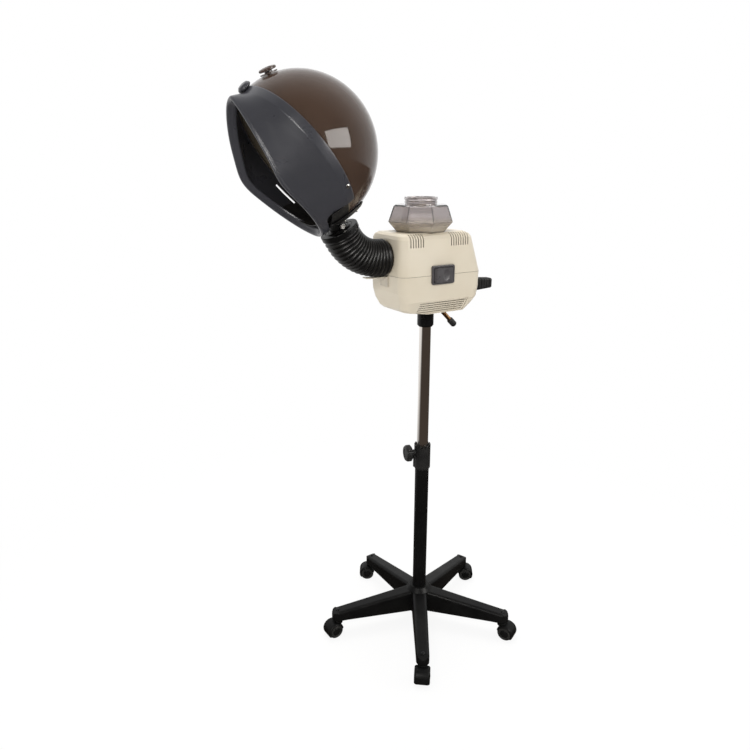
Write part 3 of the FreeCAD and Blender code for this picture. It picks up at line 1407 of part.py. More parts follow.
def vent_dial(point, outward):
    """Small two-step dial over the steam vent on top of the dome."""
    radius = vent_dial_diameter / 2.0
    height = vent_dial_height
    stud = vent_dial_stud / 2.0
    profile = [(0, -6.0), (stud, -6.0), (stud, 0.1), (radius, 0.1), (radius, 2.2), (radius * 0.45, 2.6),
               (radius * 0.45, height * 0.38), (radius - 1.0, height * 0.46), (radius, height * 0.56),
               (radius, height * 0.78), (radius - 2.5, height * 0.9), (radius * 0.5, height), (0, height)]
    dial = turned(profile)
    flute = cylinder(2.6, Vector(radius + 0.5, 0, height * 0.42), Z, height)
    dial = dial.cut(Part.makeCompound(ring_of(flute, 16)))
    groove = box(-1.2, 1.2, -radius, radius, height - 1.6, height + 1)
    dial = dial.cut(groove)
    dial.Placement = Placement(point, Rotation(Z, outward))
    return dial


def main():
    os.makedirs("parts", exist_ok=True)
    outer = housing_form(0.0)
    build_base()
    build_column()
    build_housing()
    build_fittings(outer)
    build_boiler()
    build_jar()
    build_arm(outer)
    build_hood()
    for name, shape in nodes.items():
        placed = shape.copy()
        placed.translate(Vector(column_x, column_y, -floor_level))
        placed.exportStep("parts/%s.step" % name)
        print("%-18s solids %d volume %.0f valid %s" % (name, len(placed.Solids), placed.Volume, placed.isValid()))
    print("nodes", len(nodes))


main()
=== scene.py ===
# %% [markdown]
# # A salon hood steamer, dressed
# The machine is a five-star base on casters, a column that slides, a boiler housing with a
# water jar on its roof, and a smoky hood at the end of a ribbed hose. The solids carry the
# structure. This script gives each of them its finish, makes the hose as one piece, and adds
# the small trim that a moulded product shows from close by.

# %% Load the frame
import json
import math

import bmesh
import bpy
from mathutils import Matrix, Vector


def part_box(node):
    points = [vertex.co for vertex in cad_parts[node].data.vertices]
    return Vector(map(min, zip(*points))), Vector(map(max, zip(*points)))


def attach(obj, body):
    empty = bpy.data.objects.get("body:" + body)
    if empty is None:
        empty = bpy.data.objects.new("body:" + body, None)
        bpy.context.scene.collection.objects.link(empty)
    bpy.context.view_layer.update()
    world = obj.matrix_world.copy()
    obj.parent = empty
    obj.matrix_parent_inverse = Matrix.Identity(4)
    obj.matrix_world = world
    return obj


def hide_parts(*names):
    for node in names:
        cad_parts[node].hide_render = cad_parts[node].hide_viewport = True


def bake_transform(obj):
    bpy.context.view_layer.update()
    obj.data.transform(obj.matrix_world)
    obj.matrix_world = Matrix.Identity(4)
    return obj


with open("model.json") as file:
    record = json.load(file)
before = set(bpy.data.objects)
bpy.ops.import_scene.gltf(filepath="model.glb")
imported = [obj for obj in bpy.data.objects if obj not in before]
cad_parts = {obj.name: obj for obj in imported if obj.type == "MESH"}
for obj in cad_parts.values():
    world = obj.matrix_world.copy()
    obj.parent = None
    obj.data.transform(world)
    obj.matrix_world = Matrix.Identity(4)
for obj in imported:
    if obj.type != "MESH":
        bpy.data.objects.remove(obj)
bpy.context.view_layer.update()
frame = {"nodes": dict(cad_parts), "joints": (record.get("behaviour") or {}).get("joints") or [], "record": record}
nodes = frame["nodes"]
joints = {joint["name"]: joint for joint in frame["joints"]}

# %% [markdown]
# The drawing of the machine counts millimetres from the column's axis, and its heights from
# a level under the floor. One small function turns such a point into the scene's metres, so
# that a piece can be placed by the same numbers as the solid that carries it.

# %% Drawing units
MM = 0.001
column_x = 99.5
column_y = -15.5
floor_level = 11.0


def drawn(x, y, z):
    """Point of the drawing, in the scene's metres."""
    return Vector(((x + column_x) / 1000.0, (y + column_y) / 1000.0, (z - floor_level) / 1000.0))


print("column meets the floor at", drawn(0.0, 0.0, floor_level))

# %% [markdown]
# ## Camera
# The photograph is taken from the front left, a little above the hood, looking down. The
# camera's place and lens come from fitting the column, the casters and the housing to it.

# %% Camera
camera_place = drawn(-891.7, -1227.3, 1189.0)
sensor_mm = 36.0
lens_mm = 31.2

forward = Vector((0.4977, 0.8131, -0.3019)).normalized()
right = forward.cross(Vector((0, 0, 1))).normalized()
up = right.cross(forward)
camera_data = bpy.data.cameras.new("camera")
camera_data.sensor_width = sensor_mm
camera_data.lens = lens_mm
camera_data.clip_end = 50.0
camera = bpy.data.objects.new("camera", camera_data)
turn = Matrix((right, up, -forward)).transposed().to_4x4()
camera.matrix_world = Matrix.Translation(camera_place) @ turn
bpy.context.scene.collection.objects.link(camera)
bpy.context.scene.camera = camera
print("camera at", camera_place, "lens", lens_mm, "mm")

# %% [markdown]
# ## Node trees
# The world, the floor and every finish is a tree of shader nodes. It could be drawn by hand
# in the editor. Here a few helpers each add one kind of node and hand on its output, so a
# tree reads as a short list of what feeds what.

# %% Node helpers


def add(tree, kind, values=(), **settings):
    """New shader node with its settings, and with values for its named or numbered inputs."""
    made = tree.nodes.new("ShaderNode" + kind)
    for setting, value in settings.items():
        setattr(made, setting, value)
    for socket, value in dict(values).items():
        made.inputs[socket].default_value = value
    return made


def join(tree, *pairs):
    """Links each output to the input beside it."""
    for output, socket in pairs:
        tree.links.new(output, socket)


def rgba(colour):
    """Colour with its fourth number, as a socket wants it."""
    return (*colour, 1.0)


def between(tree, value, low, high, from_low=0.3, from_high=0.7):
    """A number that runs from low to high as value runs over its own span."""
    spread = add(tree, "MapRange", {"From Min": from_low, "From Max": from_high,
                                    "To Min": low, "To Max": high})
    join(tree, (value, spread.inputs["Value"]))
    return spread.outputs["Result"]


def mix_colours(tree, factor, first, second):
    """Colour that goes from first to second as factor goes from 0 to 1."""
    mixer = add(tree, "Mix", data_type="RGBA")
    join(tree, (factor, mixer.inputs["Factor"]))
    for socket, colour in (("A", first), ("B", second)):
        if isinstance(colour, bpy.types.NodeSocket):
            join(tree, (colour, mixer.inputs[socket]))
        else:
            mixer.inputs[socket].default_value = rgba(colour)
    return mixer.outputs["Result"]


def mix_shaders(tree, factor, first, second):
    """Shader that goes from first to second as factor goes from 0 to 1."""
    mixer = add(tree, "MixShader")
    join(tree, (factor, mixer.inputs[0]), (first, mixer.inputs[1]), (second, mixer.inputs[2]))
    return mixer.outputs[0]


def kinds_of_ray(tree):
    """What tells the eye's rays, straight or through clear plastic, and what tells mirror rays."""
    path = add(tree, "LightPath")
    straight = add(tree, "Math", operation="MAXIMUM")
    join(tree, (path.outputs["Is Camera Ray"], straight.inputs[0]),
         (path.outputs["Is Transmission Ray"], straight.inputs[1]))
    return straight.outputs[0], path.outputs["Is Glossy Ray"]


# %% [markdown]
# ## Light
# A white sweep surrounds the machine. Rays that go straight to the eye, or through clear
# plastic, see plain white. Mirror rays see white behind the machine and a dimmer room in
# front of it, as in a studio, so black plastic stays black where it faces the camera.

# %% World
room_white = (1.0, 0.985, 0.96)
room_strength = 0.62
dim_room = (0.085, 0.08, 0.075)
dim_until, white_from = 0.34, 0.72

world = bpy.data.worlds.new("studio")
bpy.context.scene.world = world
world.use_nodes = True
tree = world.node_tree
tree.nodes.clear()
soft = add(tree, "Background", {"Color": rgba(room_white), "Strength": room_strength})
seen = add(tree, "Background", {"Color": (1.0, 1.0, 1.0, 1.0), "Strength": 1.0})
mirror_room = add(tree, "Background")
direction = add(tree, "TexCoord")
toward_back = add(tree, "VectorMath", {1: (forward.x, forward.y, 0.0)}, operation="DOT_PRODUCT")
half = add(tree, "Math", {1: 0.5, 2: 0.5}, operation="MULTIPLY_ADD")
room_ramp = add(tree, "ValToRGB")
front_stop, back_stop = room_ramp.color_ramp.elements
front_stop.position, front_stop.color = dim_until, rgba(dim_room)
back_stop.position, back_stop.color = white_from, (1, 1, 1, 1)
join(tree, (direction.outputs["Generated"], toward_back.inputs[0]),
     (toward_back.outputs["Value"], half.inputs[0]), (half.outputs[0], room_ramp.inputs[0]),
     (room_ramp.outputs["Color"], mirror_room.inputs["Color"]))
straight, by_gloss = kinds_of_ray(tree)
unseen = mix_shaders(tree, by_gloss, soft.outputs[0], mirror_room.outputs[0])
surround = mix_shaders(tree, straight, unseen, seen.outputs[0])
join(tree, (surround, add(tree, "OutputWorld").inputs["Surface"]))
print("world of", len(tree.nodes), "nodes")

# %% [markdown]
# Three soft boxes give the form its light: a large one at the front left, as the housing's
# front shows, a weaker one from the right and one from above. The bright square on the
# smoky dome is a window: a lamp that only mirror rays see, at the angle that the dome turns
# it to. A tall narrow lamp at the left is seen by mirror rays only, too, and draws edges.

# %% Lamps
window_distance = 2.5


def soft_box(name, place, target, width, height, power, colour=(1.0, 0.98, 0.95), mirrored=False):
    """Rectangular lamp that faces a point, in metres and watts; only a mirrored one shows in
    gloss, and it lights nothing else."""
    data = bpy.data.lights.new(name, "AREA")
    data.shape = "RECTANGLE"
    data.size = width
    data.size_y = height
    data.energy = power
    data.color = colour
    lamp = bpy.data.objects.new(name, data)
    facing = (target - place).to_track_quat("-Z", "Y")
    lamp.matrix_world = Matrix.Translation(place) @ facing.to_matrix().to_4x4()
    lamp.visible_glossy = mirrored
    lamp.visible_diffuse = not mirrored
    bpy.context.scene.collection.objects.link(lamp)
    print("%-12s %5.1f W" % (name, power))
    return lamp


middle = drawn(0, 0, 800)
dome_spot = drawn(-306.7, -149.4, 1241.7)
window_way = Vector((0.514, -0.808, 0.288))
soft_box("key_lamp", Vector((-1.9, -2.6, 2.6)), middle, width=1.6, height=1.2, power=50.0)
soft_box("fill_lamp", Vector((2.6, -1.6, 1.7)), middle, width=1.4, height=1.4, power=17.0,
         colour=(0.96, 0.98, 1.0))
soft_box("top_lamp", Vector((0.2, 0.6, 3.2)), middle, width=1.6, height=1.6, power=46.0)
window = soft_box("window_lamp", dome_spot + window_way * window_distance, dome_spot,
                  width=1.75, height=1.02, power=60.0, mirrored=True)
window.visible_camera = False
edge_lamp = soft_box("edge_lamp", Vector((-2.3, -1.7, 2.0)), drawn(-310, 0, 1220),
                     width=0.7, height=1.5, power=48.0, mirrored=True)

# %% [markdown]
# The floor is part of the sweep. The eye sees it as plain white, less a share of real paint
# that holds the soft shadow, and the share fades away from the machine so that the floor
# has no edge. Mirror rays see a dark floor near the camera that turns pale towards the back.

# %% Floor
floor_size = 14.0
near_reach, far_reach = 0.35, 1.3
near_white, far_white = 0.88, 1.0
dark_floor, pale_floor = (0.062, 0.049, 0.040), (0.95, 0.94, 0.93)
dark_until, pale_from = 0.35, 1.7
pale_way = 0.85 * forward - 0.6 * right

bpy.ops.mesh.primitive_plane_add(size=floor_size, location=(0, 0, 0))
floor = bpy.context.object
floor.name = "floor"
floor_finish = bpy.data.materials.new("white_floor")
floor_finish.use_nodes = True
tree = floor_finish.node_tree
tree.nodes.clear()
paint = add(tree, "BsdfDiffuse", {"Color": (0.97, 0.97, 0.97, 1.0)})
glow = add(tree, "Emission", {"Strength": 1.0})
spot = add(tree, "TexCoord")
reach = add(tree, "VectorMath", operation="LENGTH")
share = add(tree, "Math", operation="MULTIPLY")
straight, by_gloss = kinds_of_ray(tree)
join(tree, (spot.outputs["Object"], reach.inputs[0]), (straight, share.inputs[0]))
white_share = between(tree, reach.outputs["Value"], near_white, far_white, near_reach, far_reach)
join(tree, (white_share, share.inputs[1]))
to_the_eye = mix_shaders(tree, share.outputs[0], paint.outputs[0], glow.outputs[0])
behind = add(tree, "VectorMath", {1: (pale_way.x, pale_way.y, 0.0)}, operation="DOT_PRODUCT")
join(tree, (spot.outputs["Object"], behind.inputs[0]))
sweep = between(tree, behind.outputs["Value"], 0.0, 1.0, dark_until, pale_from)
in_mirror = add(tree, "Emission")
join(tree, (mix_colours(tree, sweep, dark_floor, pale_floor), in_mirror.inputs["Color"]))
surface = mix_shaders(tree, by_gloss, to_the_eye, in_mirror.outputs[0])
join(tree, (surface, add(tree, "OutputMaterial").inputs["Surface"]))
floor.data.materials.append(floor_finish)
print("floor of", floor_size, "m")

# %% [markdown]
# ## Finishes
# Nearly every piece is plastic or metal with a colour that wanders a little, a gloss that
# handling has changed in patches, and a fine grain. One function builds that from noise on
# Object coordinates: colour, roughness and bump each read their own scale, in real sizes.
# The cream housing gets painted shade in its slots and grooves: an occlusion node turns its
# colour dark where walls stand close. The visor and the base have soft moulded edges, which a
# bevel node lends to the shading of their solids.

# %% Plastic and metal
smear_share = 0.33
least_rough, most_rough = 0.82, 1.22
# Painted shade: the colour darkens in crevices where an occlusion ray meets a wall this close.
crevice_depth = 6.0
crevice_dark, crevice_clear = 0.32, 0.70
ray_samples = 6


def noise(tree, coordinates, size_mm, detail, distortion=0.0):
    """Noise whose blotches are about size_mm across."""
    texture = add(tree, "TexNoise", {"Scale": 1000.0 / size_mm, "Detail": detail,
                                     "Distortion": distortion})
    join(tree, (coordinates, texture.inputs["Vector"]))
    return texture.outputs["Fac"]


def start_material(name):
    """Empty material with a Principled shader and Object coordinates."""
    material = bpy.data.materials.new(name)
    material.use_nodes = True
    tree = material.node_tree
    coordinates = add(tree, "TexCoord").outputs["Object"]
    return material, tree, tree.nodes["Principled BSDF"], coordinates


def paint_crevice_shade(tree, colour, crevice_shade):
    """The colour with painted shade: it turns into the shade colour where walls stand close together."""
    shaded = add(tree, "AmbientOcclusion", {"Distance": crevice_depth * MM}, samples=ray_samples)
    open_share = between(tree, shaded.outputs["AO"], 0.0, 1.0, crevice_dark, crevice_clear)
    return mix_colours(tree, open_share, crevice_shade, colour)


def finish(name, colour, worn, roughness, grain_mm, height_mm, patch_mm, metal=0.0, coat=0.0,
           stretch=None, shine=0.5, crevice_shade=None, round_mm=None):
    """Solid finish: two colours mixed in patches, uneven gloss and a fine grain."""
    material, tree, shader, coordinates = start_material(name)
    patches = noise(tree, coordinates, patch_mm, 3.0, 0.2)
    blend = mix_colours(tree, between(tree, patches, 0.0, 1.0), colour, worn)
    # Painted shade: a darker colour is mixed in where walls stand close, in slots and grooves.
    if crevice_shade:
        blend = paint_crevice_shade(tree, blend, crevice_shade)
    smears = noise(tree, coordinates, patch_mm * smear_share, 6.0, 0.8)
    gloss = between(tree, smears, roughness * least_rough, roughness * most_rough)
    grain_place = coordinates
    if stretch:
        mapping = add(tree, "Mapping", {"Scale": stretch})
        join(tree, (coordinates, mapping.inputs["Vector"]))
        grain_place = mapping.outputs["Vector"]
    bump = add(tree, "Bump", {"Strength": 0.6, "Distance": height_mm * MM})
    join(tree, (noise(tree, grain_place, grain_mm, 3.0), bump.inputs["Height"]))
    join(tree, (blend, shader.inputs["Base Color"]), (gloss, shader.inputs["Roughness"]),
         (bump.outputs["Normal"], shader.inputs["Normal"]))
    if round_mm:
        rounded = add(tree, "Bevel", {"Radius": round_mm * MM}, samples=ray_samples)
        join(tree, (rounded.outputs["Normal"], bump.inputs["Normal"]),
             (rounded.outputs["Normal"], shader.inputs["Coat Normal"]))
    shader.inputs["Metallic"].default_value = metal
    shader.inputs["Specular IOR Level"].default_value = shine
    shader.inputs["Coat Weight"].default_value = coat
    shader.inputs["Coat Roughness"].default_value = 0.12
    return material


# The cream's darker colour in its slots and grooves is painted shade.
cream = finish("cream_moulding", (0.655, 0.595, 0.485), (0.625, 0.56, 0.445), roughness=0.34,
               grain_mm=0.5, height_mm=0.02, patch_mm=90.0, coat=0.12,
               crevice_shade=(0.055, 0.034, 0.015))
base_black = finish("black_nylon", (0.0035, 0.0035, 0.0037), (0.0075, 0.0074, 0.0072),
                    roughness=0.38, grain_mm=0.9, height_mm=0.05, patch_mm=60.0, shine=0.13,
                    round_mm=2.5)
tube_black = finish("black_enamel", (0.003, 0.003, 0.0032), (0.006, 0.006, 0.006),
                    roughness=0.30, grain_mm=1.2, height_mm=0.02, patch_mm=80.0, shine=0.2)
soft_black = finish("satin_black", (0.010, 0.010, 0.0105), (0.017, 0.0165, 0.016),
                    roughness=0.46, grain_mm=0.7, height_mm=0.04, patch_mm=40.0, shine=0.3)
hose_black = finish("hose_rubber", (0.005, 0.005, 0.005), (0.011, 0.0105, 0.010),
                    roughness=0.34, grain_mm=0.8, height_mm=0.05, patch_mm=30.0, shine=0.46)
tread_black = finish("tread_rubber", (0.014, 0.014, 0.0135), (0.028, 0.027, 0.025),
                     roughness=0.60, grain_mm=0.8, height_mm=0.08, patch_mm=18.0, shine=0.25)
visor_slate = finish("slate_moulding", (0.036, 0.037, 0.045), (0.043, 0.044, 0.053),
                     roughness=0.32, grain_mm=0.5, height_mm=0.012, patch_mm=140.0, coat=0.3,
                     shine=0.42, round_mm=3.5)
switch_slate = finish("switch_moulding", (0.060, 0.056, 0.060), (0.074, 0.070, 0.074),
                      roughness=0.32, grain_mm=0.4, height_mm=0.015, patch_mm=25.0)
olive = finish("liner_moulding", (0.105, 0.086, 0.062), (0.140, 0.115, 0.083), roughness=0.42,
               grain_mm=0.7, height_mm=0.03, patch_mm=80.0)
chrome = finish("chrome_plate", (0.80, 0.765, 0.73), (0.74, 0.70, 0.66), roughness=0.07,
                grain_mm=1.0, height_mm=0.003, patch_mm=120.0, metal=1.0)
steel = finish("plain_steel", (0.55, 0.54, 0.52), (0.42, 0.41, 0.39), roughness=0.28,
               grain_mm=0.5, height_mm=0.02, patch_mm=12.0, metal=1.0, stretch=(1.0, 1.0, 0.12))
rest_paint = finish("painted_steel", (0.56, 0.51, 0.42), (0.47, 0.43, 0.36), roughness=0.45,
                    grain_mm=0.5, height_mm=0.03, patch_mm=12.0)
brass = finish("dull_brass", (0.40, 0.21, 0.085), (0.16, 0.085, 0.045), roughness=0.32,
               grain_mm=0.8, height_mm=0.03, patch_mm=10.0, metal=1.0)
aluminium = finish("spun_aluminium", (0.62, 0.62, 0.61), (0.52, 0.52, 0.51), roughness=0.34,
                   grain_mm=0.6, height_mm=0.02, patch_mm=30.0, metal=1.0,
                   stretch=(0.2, 0.2, 6.0))
print("materials", len(bpy.data.materials))

# %% [markdown]
# The dome and the jar are clear plastic with a tint. The dome is dark enough that only the
# pale rim of the liner shows through it, so it is a brown shell whose alpha lets some of the
# inside show, under a glossy coat. The jar is a real refracting wall, because its facets
# and its thick foot are what makes it look like a jar.

# %% Clear plastics
# Towards its foot the jar turns a milky cream over a wavering edge, and grows rougher and less clear.
foot_tint = (0.62, 0.56, 0.47)
foot_edge_waver = 0.016
foot_edge_blur = 0.008
foot_tint_roughness = 0.16
foot_tint_clearness = 0.55
foot_thickness = 16.0


def smoked(name, colour, deep, alpha, roughness):
    """Tinted shell under a gloss coat; the tint thickens in soft clouds."""
    material, tree, shader, coordinates = start_material(name)
    clouds = noise(tree, coordinates, 120.0, 3.0, 0.6)
    tint = mix_colours(tree, between(tree, clouds, 0.0, 1.0), colour, deep)
    film = noise(tree, coordinates, 35.0, 6.0, 1.0)
    gloss = between(tree, film, roughness * 0.7, roughness * 1.6)
    join(tree, (tint, shader.inputs["Base Color"]), (gloss, shader.inputs["Roughness"]))
    shader.inputs["Alpha"].default_value = alpha
    shader.inputs["Specular IOR Level"].default_value = 0.3
    shader.inputs["Coat Weight"].default_value = 0.22
    shader.inputs["Coat Roughness"].default_value = 0.03
    return material


def refracting(name, colour, roughness, foot):
    """Clear moulded wall that turns milky, cream-coloured, rougher and less clear towards its foot."""
    material, tree, shader, coordinates = start_material(name)
    haze = noise(tree, coordinates, 14.0, 6.0, 0.8)
    height = add(tree, "SeparateXYZ")
    wavering = add(tree, "Math", {1: -foot_edge_waver}, operation="MULTIPLY_ADD")
    join(tree, (coordinates, height.inputs[0]), (haze, wavering.inputs[0]),
         (height.outputs["Z"], wavering.inputs[2]))
    milky = between(tree, wavering.outputs[0], 1.0, 0.0,
                    foot - foot_edge_blur, foot + foot_thickness * MM)
    gloss = add(tree, "Math", {1: foot_tint_roughness, 2: roughness}, operation="MULTIPLY_ADD")
    clearness = between(tree, milky, 1.0, foot_tint_clearness, 0.0, 1.0)
    join(tree, (mix_colours(tree, milky, colour, foot_tint), shader.inputs["Base Color"]),
         (milky, gloss.inputs[0]), (gloss.outputs[0], shader.inputs["Roughness"]),
         (clearness, shader.inputs["Transmission Weight"]))
    shader.inputs["IOR"].default_value = 1.45
    return material


dome_smoke = smoked("dome_smoke", (0.082, 0.052, 0.038), (0.064, 0.040, 0.029),
                    alpha=0.68, roughness=0.06)
dial_smoke = smoked("dial_smoke", (0.075, 0.040, 0.027), (0.05, 0.028, 0.020),
                    alpha=0.88, roughness=0.14)
spout_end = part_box("water_jar")[0].z
jar_clear = refracting("jar_clear", (0.56, 0.525, 0.52), roughness=0.02,
                       foot=spout_end + foot_thickness * MM)
print("jar's spout ends at %.3f m" % spout_end)

# %% [markdown]
# The record names a slot for every solid, such as chrome or wheel rubber. A dictionary from
# slots to finishes dresses them all. Only the tongue under the hose is dressed by itself: it
# is steel in the same cream paint as the housing, and the paint has gone dull.

# %% Give every solid its finish


def dress(solid, material):
    """Puts one material on the whole of a solid."""
    solid.data.materials.clear()
    solid.data.materials.append(material)


finish_of_slot = {
    "base_plastic": base_black, "black_paint": tube_black, "black_plastic": soft_black,
    "wheel_rubber": tread_black, "chrome": chrome, "steel": steel, "cream_plastic": cream,
    "switch_grey": switch_slate, "grip_rubber": soft_black, "aluminium": aluminium,
    "brass": brass, "hose_rubber": hose_black, "dome_smoke": dome_smoke, "liner_plastic": olive,
    "visor_grey": visor_slate, "dial_smoke": dial_smoke, "jar_clear": jar_clear}
for entry in frame["record"]["subparts"]:
    dress(nodes[entry["node"]], finish_of_slot[entry["material_slot"]])
dress(nodes["hose_rest"], rest_paint)

# %% [markdown]
# The edge lamp draws the thin bright lines on the visor's rim and on the round black edges.
# A clear ball would show it as a second window, so the lamp is linked to the solid pieces
# only, and the dome, the dial and the jar don't see it.

# %% Light linking
lit_by_edge = bpy.data.collections.new("lit_by_edge_lamp")
for name, solid in nodes.items():
    if name not in ("hood_dome", "vent_dial", "water_jar"):
        lit_by_edge.objects.link(solid)
edge_lamp.light_linking.receiver_collection = lit_by_edge

# %% [markdown]
# ## Making pieces
# A new piece starts in a bmesh, is shaped by operators and becomes an object at the origin.
# Its doubles are merged and its faces turned outwards before it is kept. Most pieces here
# are round, so two more helpers spin a line of points: all the way round, or as a closed
# profile through part of a turn, where the profile is left as a face at both ends.

# %% Piece helpers


def piece(name, mesh, material, body=None, crease_degrees=35.0):
    """Object from a finished bmesh, with its finish; it rides on body if one is given."""
    bmesh.ops.remove_doubles(mesh, verts=mesh.verts, dist=0.00001)
    bmesh.ops.recalc_face_normals(mesh, faces=mesh.faces)
    data = bpy.data.meshes.new(name)
    mesh.to_mesh(data)
    mesh.free()
    made = bpy.data.objects.new(name, data)
    bpy.context.scene.collection.objects.link(made)
    data.materials.append(material)
    data.shade_smooth()
    data.set_sharp_from_angle(angle=math.radians(crease_degrees))
    lit_by_edge.objects.link(made)
    if body:
        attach(made, body)
    print("%-18s %6d faces" % (name, len(data.polygons)))
    return made


def spin_round(mesh, points, axis, steps, closed=True):
    """Full turn of a line of points about an axis through the origin."""
    line = [mesh.verts.new(point) for point in points]
    ends = line[1:] + line[:1] if closed else line[1:]
    edges = [mesh.edges.new(pair) for pair in zip(line, ends)]
    bmesh.ops.spin(mesh, geom=line + edges, cent=(0, 0, 0), axis=axis, dvec=(0, 0, 0),
                   angle=2 * math.pi, steps=steps, use_merge=True, use_duplicate=False)


def spin_part(mesh, points, axis, angle, steps):
    """Part of a turn of a closed profile about an axis through the origin."""
    profile = mesh.faces.new([mesh.verts.new(point) for point in points])
    bmesh.ops.spin(mesh, geom=[profile], cent=(0, 0, 0), axis=axis, dvec=(0, 0, 0),
                   angle=angle, steps=steps, use_merge=False, use_duplicate=False)


# %% [markdown]
# ## The hose
# The real hose is one rubber moulding with round ribs, pushed over a spigot at each end.
# It could be a stack of rings, but then it would tear when the arm lifts. So it is one tube:
# a wavy edge is spun round a straight axis, its inside follows its outside, and the points
# are then carried onto the bent centre line. That line leaves the hood straight, turns
# through one arc and enters the housing straight.

# %% Hose route
outlet_height = 1003.0
housing_left = 115.0
housing_gap = 0.3
hood_centre = Vector((-310.0, 0.0, 1220.0))
neck_angle = math.radians(62.0)
bend_radius = 100.0
hose_start = 182.0

neck_down = Vector((math.cos(neck_angle), 0.0, -math.sin(neck_angle)))
mouth_way = Vector((neck_down.z, 0.0, -neck_down.x))
to_corner = (hood_centre.z - outlet_height) / math.sin(neck_angle)
corner = hood_centre + neck_down * to_corner
tangent = bend_radius * math.tan(neck_angle / 2.0)
straight_neck = to_corner - tangent - hose_start
bend_length = bend_radius * neck_angle
straight_outlet = -housing_left - housing_gap - (corner.x + tangent)
hose_length = straight_neck + bend_length + straight_outlet
print("hose %.1f mm" % hose_length)


def on_route(distance):
    """Centre point and direction of the hose at a distance from the hood's end."""
    if distance <= straight_neck:
        return hood_centre + neck_down * (hose_start + distance), neck_down
    if distance <= straight_neck + bend_length:
        bend_start = corner - neck_down * tangent
        bend_centre = bend_start - mouth_way * bend_radius
        swing = Matrix.Rotation((straight_neck - distance) / bend_radius, 3, "Y")
        return bend_centre + swing @ (bend_start - bend_centre), swing @ neck_down
    past = distance - straight_neck - bend_length
    return Vector((corner.x + tangent + past, 0.0, outlet_height)), Vector((1.0, 0.0, 0.0))


# %% [markdown]
# The ribs are round with narrow valleys, as half waves of a sine, and a short plain collar
# is left at each end.

# %% Hose
rib_count = 15
rib_radius = 41.0
root_radius = 36.4
bore_radius = 34.0
collar = 4.0
rib_roundness = 0.95
steps_per_rib = 12
bore_steps = 48
ribbed_length = hose_length - 2 * collar


def hose_radius(distance):
    """Outer radius along the hose."""
    along = (distance - collar) / (ribbed_length / rib_count)
    if along <= 0.0 or along >= rib_count:
        return root_radius
    wave = abs(math.sin(math.pi * (along % 1.0)))
    return root_radius + (rib_radius - root_radius) * wave ** rib_roundness


samples = rib_count * steps_per_rib
ribbed = [collar + ribbed_length * index / samples for index in range(samples + 1)]
outside = [(hose_radius(distance), 0.0, distance) for distance in ribbed]
inside = [(bore_radius, 0.0, hose_length * index / bore_steps)
          for index in range(bore_steps, -1, -1)]
mesh = bmesh.new()
spin_round(mesh, [(root_radius, 0.0, 0.0), *outside, (root_radius, 0.0, hose_length), *inside],
           axis=(0, 0, 1), steps=72)
for vertex in mesh.verts:
    centre, way = on_route(min(max(vertex.co.z, 0.0), hose_length))
    across = way.cross(Vector((0.0, 1.0, 0.0)))
    point = centre + across * vertex.co.x + Vector((0.0, vertex.co.y, 0.0))
    vertex.co = drawn(point.x, point.y, point.z)
hose = piece("ribbed_hose", mesh, hose_black, crease_degrees=60.0)
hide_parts("hose")
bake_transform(hose)

# %% [markdown]
# ## The steam gaiter
# The hood tips on a pin just above the hose's cuff, and steam has to get past the pin, so a
# rubber diaphragm closes the ring between the cuff and the hood's nozzle. It is one spun
# profile with two soft folds.

# %% Gaiter
gaiter_wall = 1.6
gaiter_line = [(17.6, 166.6), (18.6, 166.0), (20.4, 167.6), (22.6, 170.4), (24.8, 168.6),
               (27.0, 168.0), (29.2, 170.6), (31.4, 172.8), (33.0, 171.8), (34.2, 171.4)]

other_side = [(radius, distance + gaiter_wall) for radius, distance in reversed(gaiter_line)]
mesh = bmesh.new()
spin_round(mesh, [(radius * MM, 0.0, distance * MM)
                  for radius, distance in gaiter_line + other_side], axis=(0, 0, 1), steps=64)
along_neck = neck_down.to_track_quat("Z", "Y").to_matrix().to_4x4()
bmesh.ops.transform(mesh, matrix=Matrix.Translation(drawn(*hood_centre)) @ along_neck,
                    verts=mesh.verts)
gaiter = piece("steam_gaiter", mesh, hose_black, crease_degrees=80.0)
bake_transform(gaiter)

# %% [markdown]
# ## The neck skirt
# Between the bracket's front edge and the visor's notch a strip of daylight would show. A thin
# black skirt closes it from inside: one curved profile, spun part of the way round the hood.

# %% Skirt
skirt_radius = 142.5
skirt_wall = 1.5
skirt_from, skirt_to = 30.0, 53.0
skirt_half_arc = math.radians(45.0)
skirt_rows = 8

rows = [skirt_from + (skirt_to - skirt_from) * index / skirt_rows
        for index in range(skirt_rows + 1)]
outline = [(skirt_radius, row) for row in rows]
outline += [(skirt_radius - skirt_wall, row) for row in reversed(rows)]
first = Matrix.Rotation(-skirt_half_arc, 3, "Z") @ Vector((1.0, 0.0, 0.0))
mesh = bmesh.new()
spin_part(mesh, [(first * math.sqrt(radius ** 2 - row ** 2) + Vector((0.0, 0.0, row))) * MM
                 for radius, row in outline], (0, 0, 1), angle=2 * skirt_half_arc, steps=36)
hood_turn = Matrix((neck_down, mouth_way.cross(neck_down), mouth_way)).transposed().to_4x4()
bmesh.ops.transform(mesh, matrix=Matrix.Translation(drawn(*hood_centre)) @ hood_turn,
                    verts=mesh.verts)
piece("neck_skirt", mesh, soft_black, "hood")

# %% [markdown]
# ## Casters
# A twin-wheel caster is a curved cover over two wheels with a web between them. The cover
# has round shoulders, so its profile is spun about the axle through the same arc as the
# solid's. The web and the neck are closed drums that run into it. Each wheel gets a domed
# cap over its axle. The swivel and spin joints say where each caster stands.

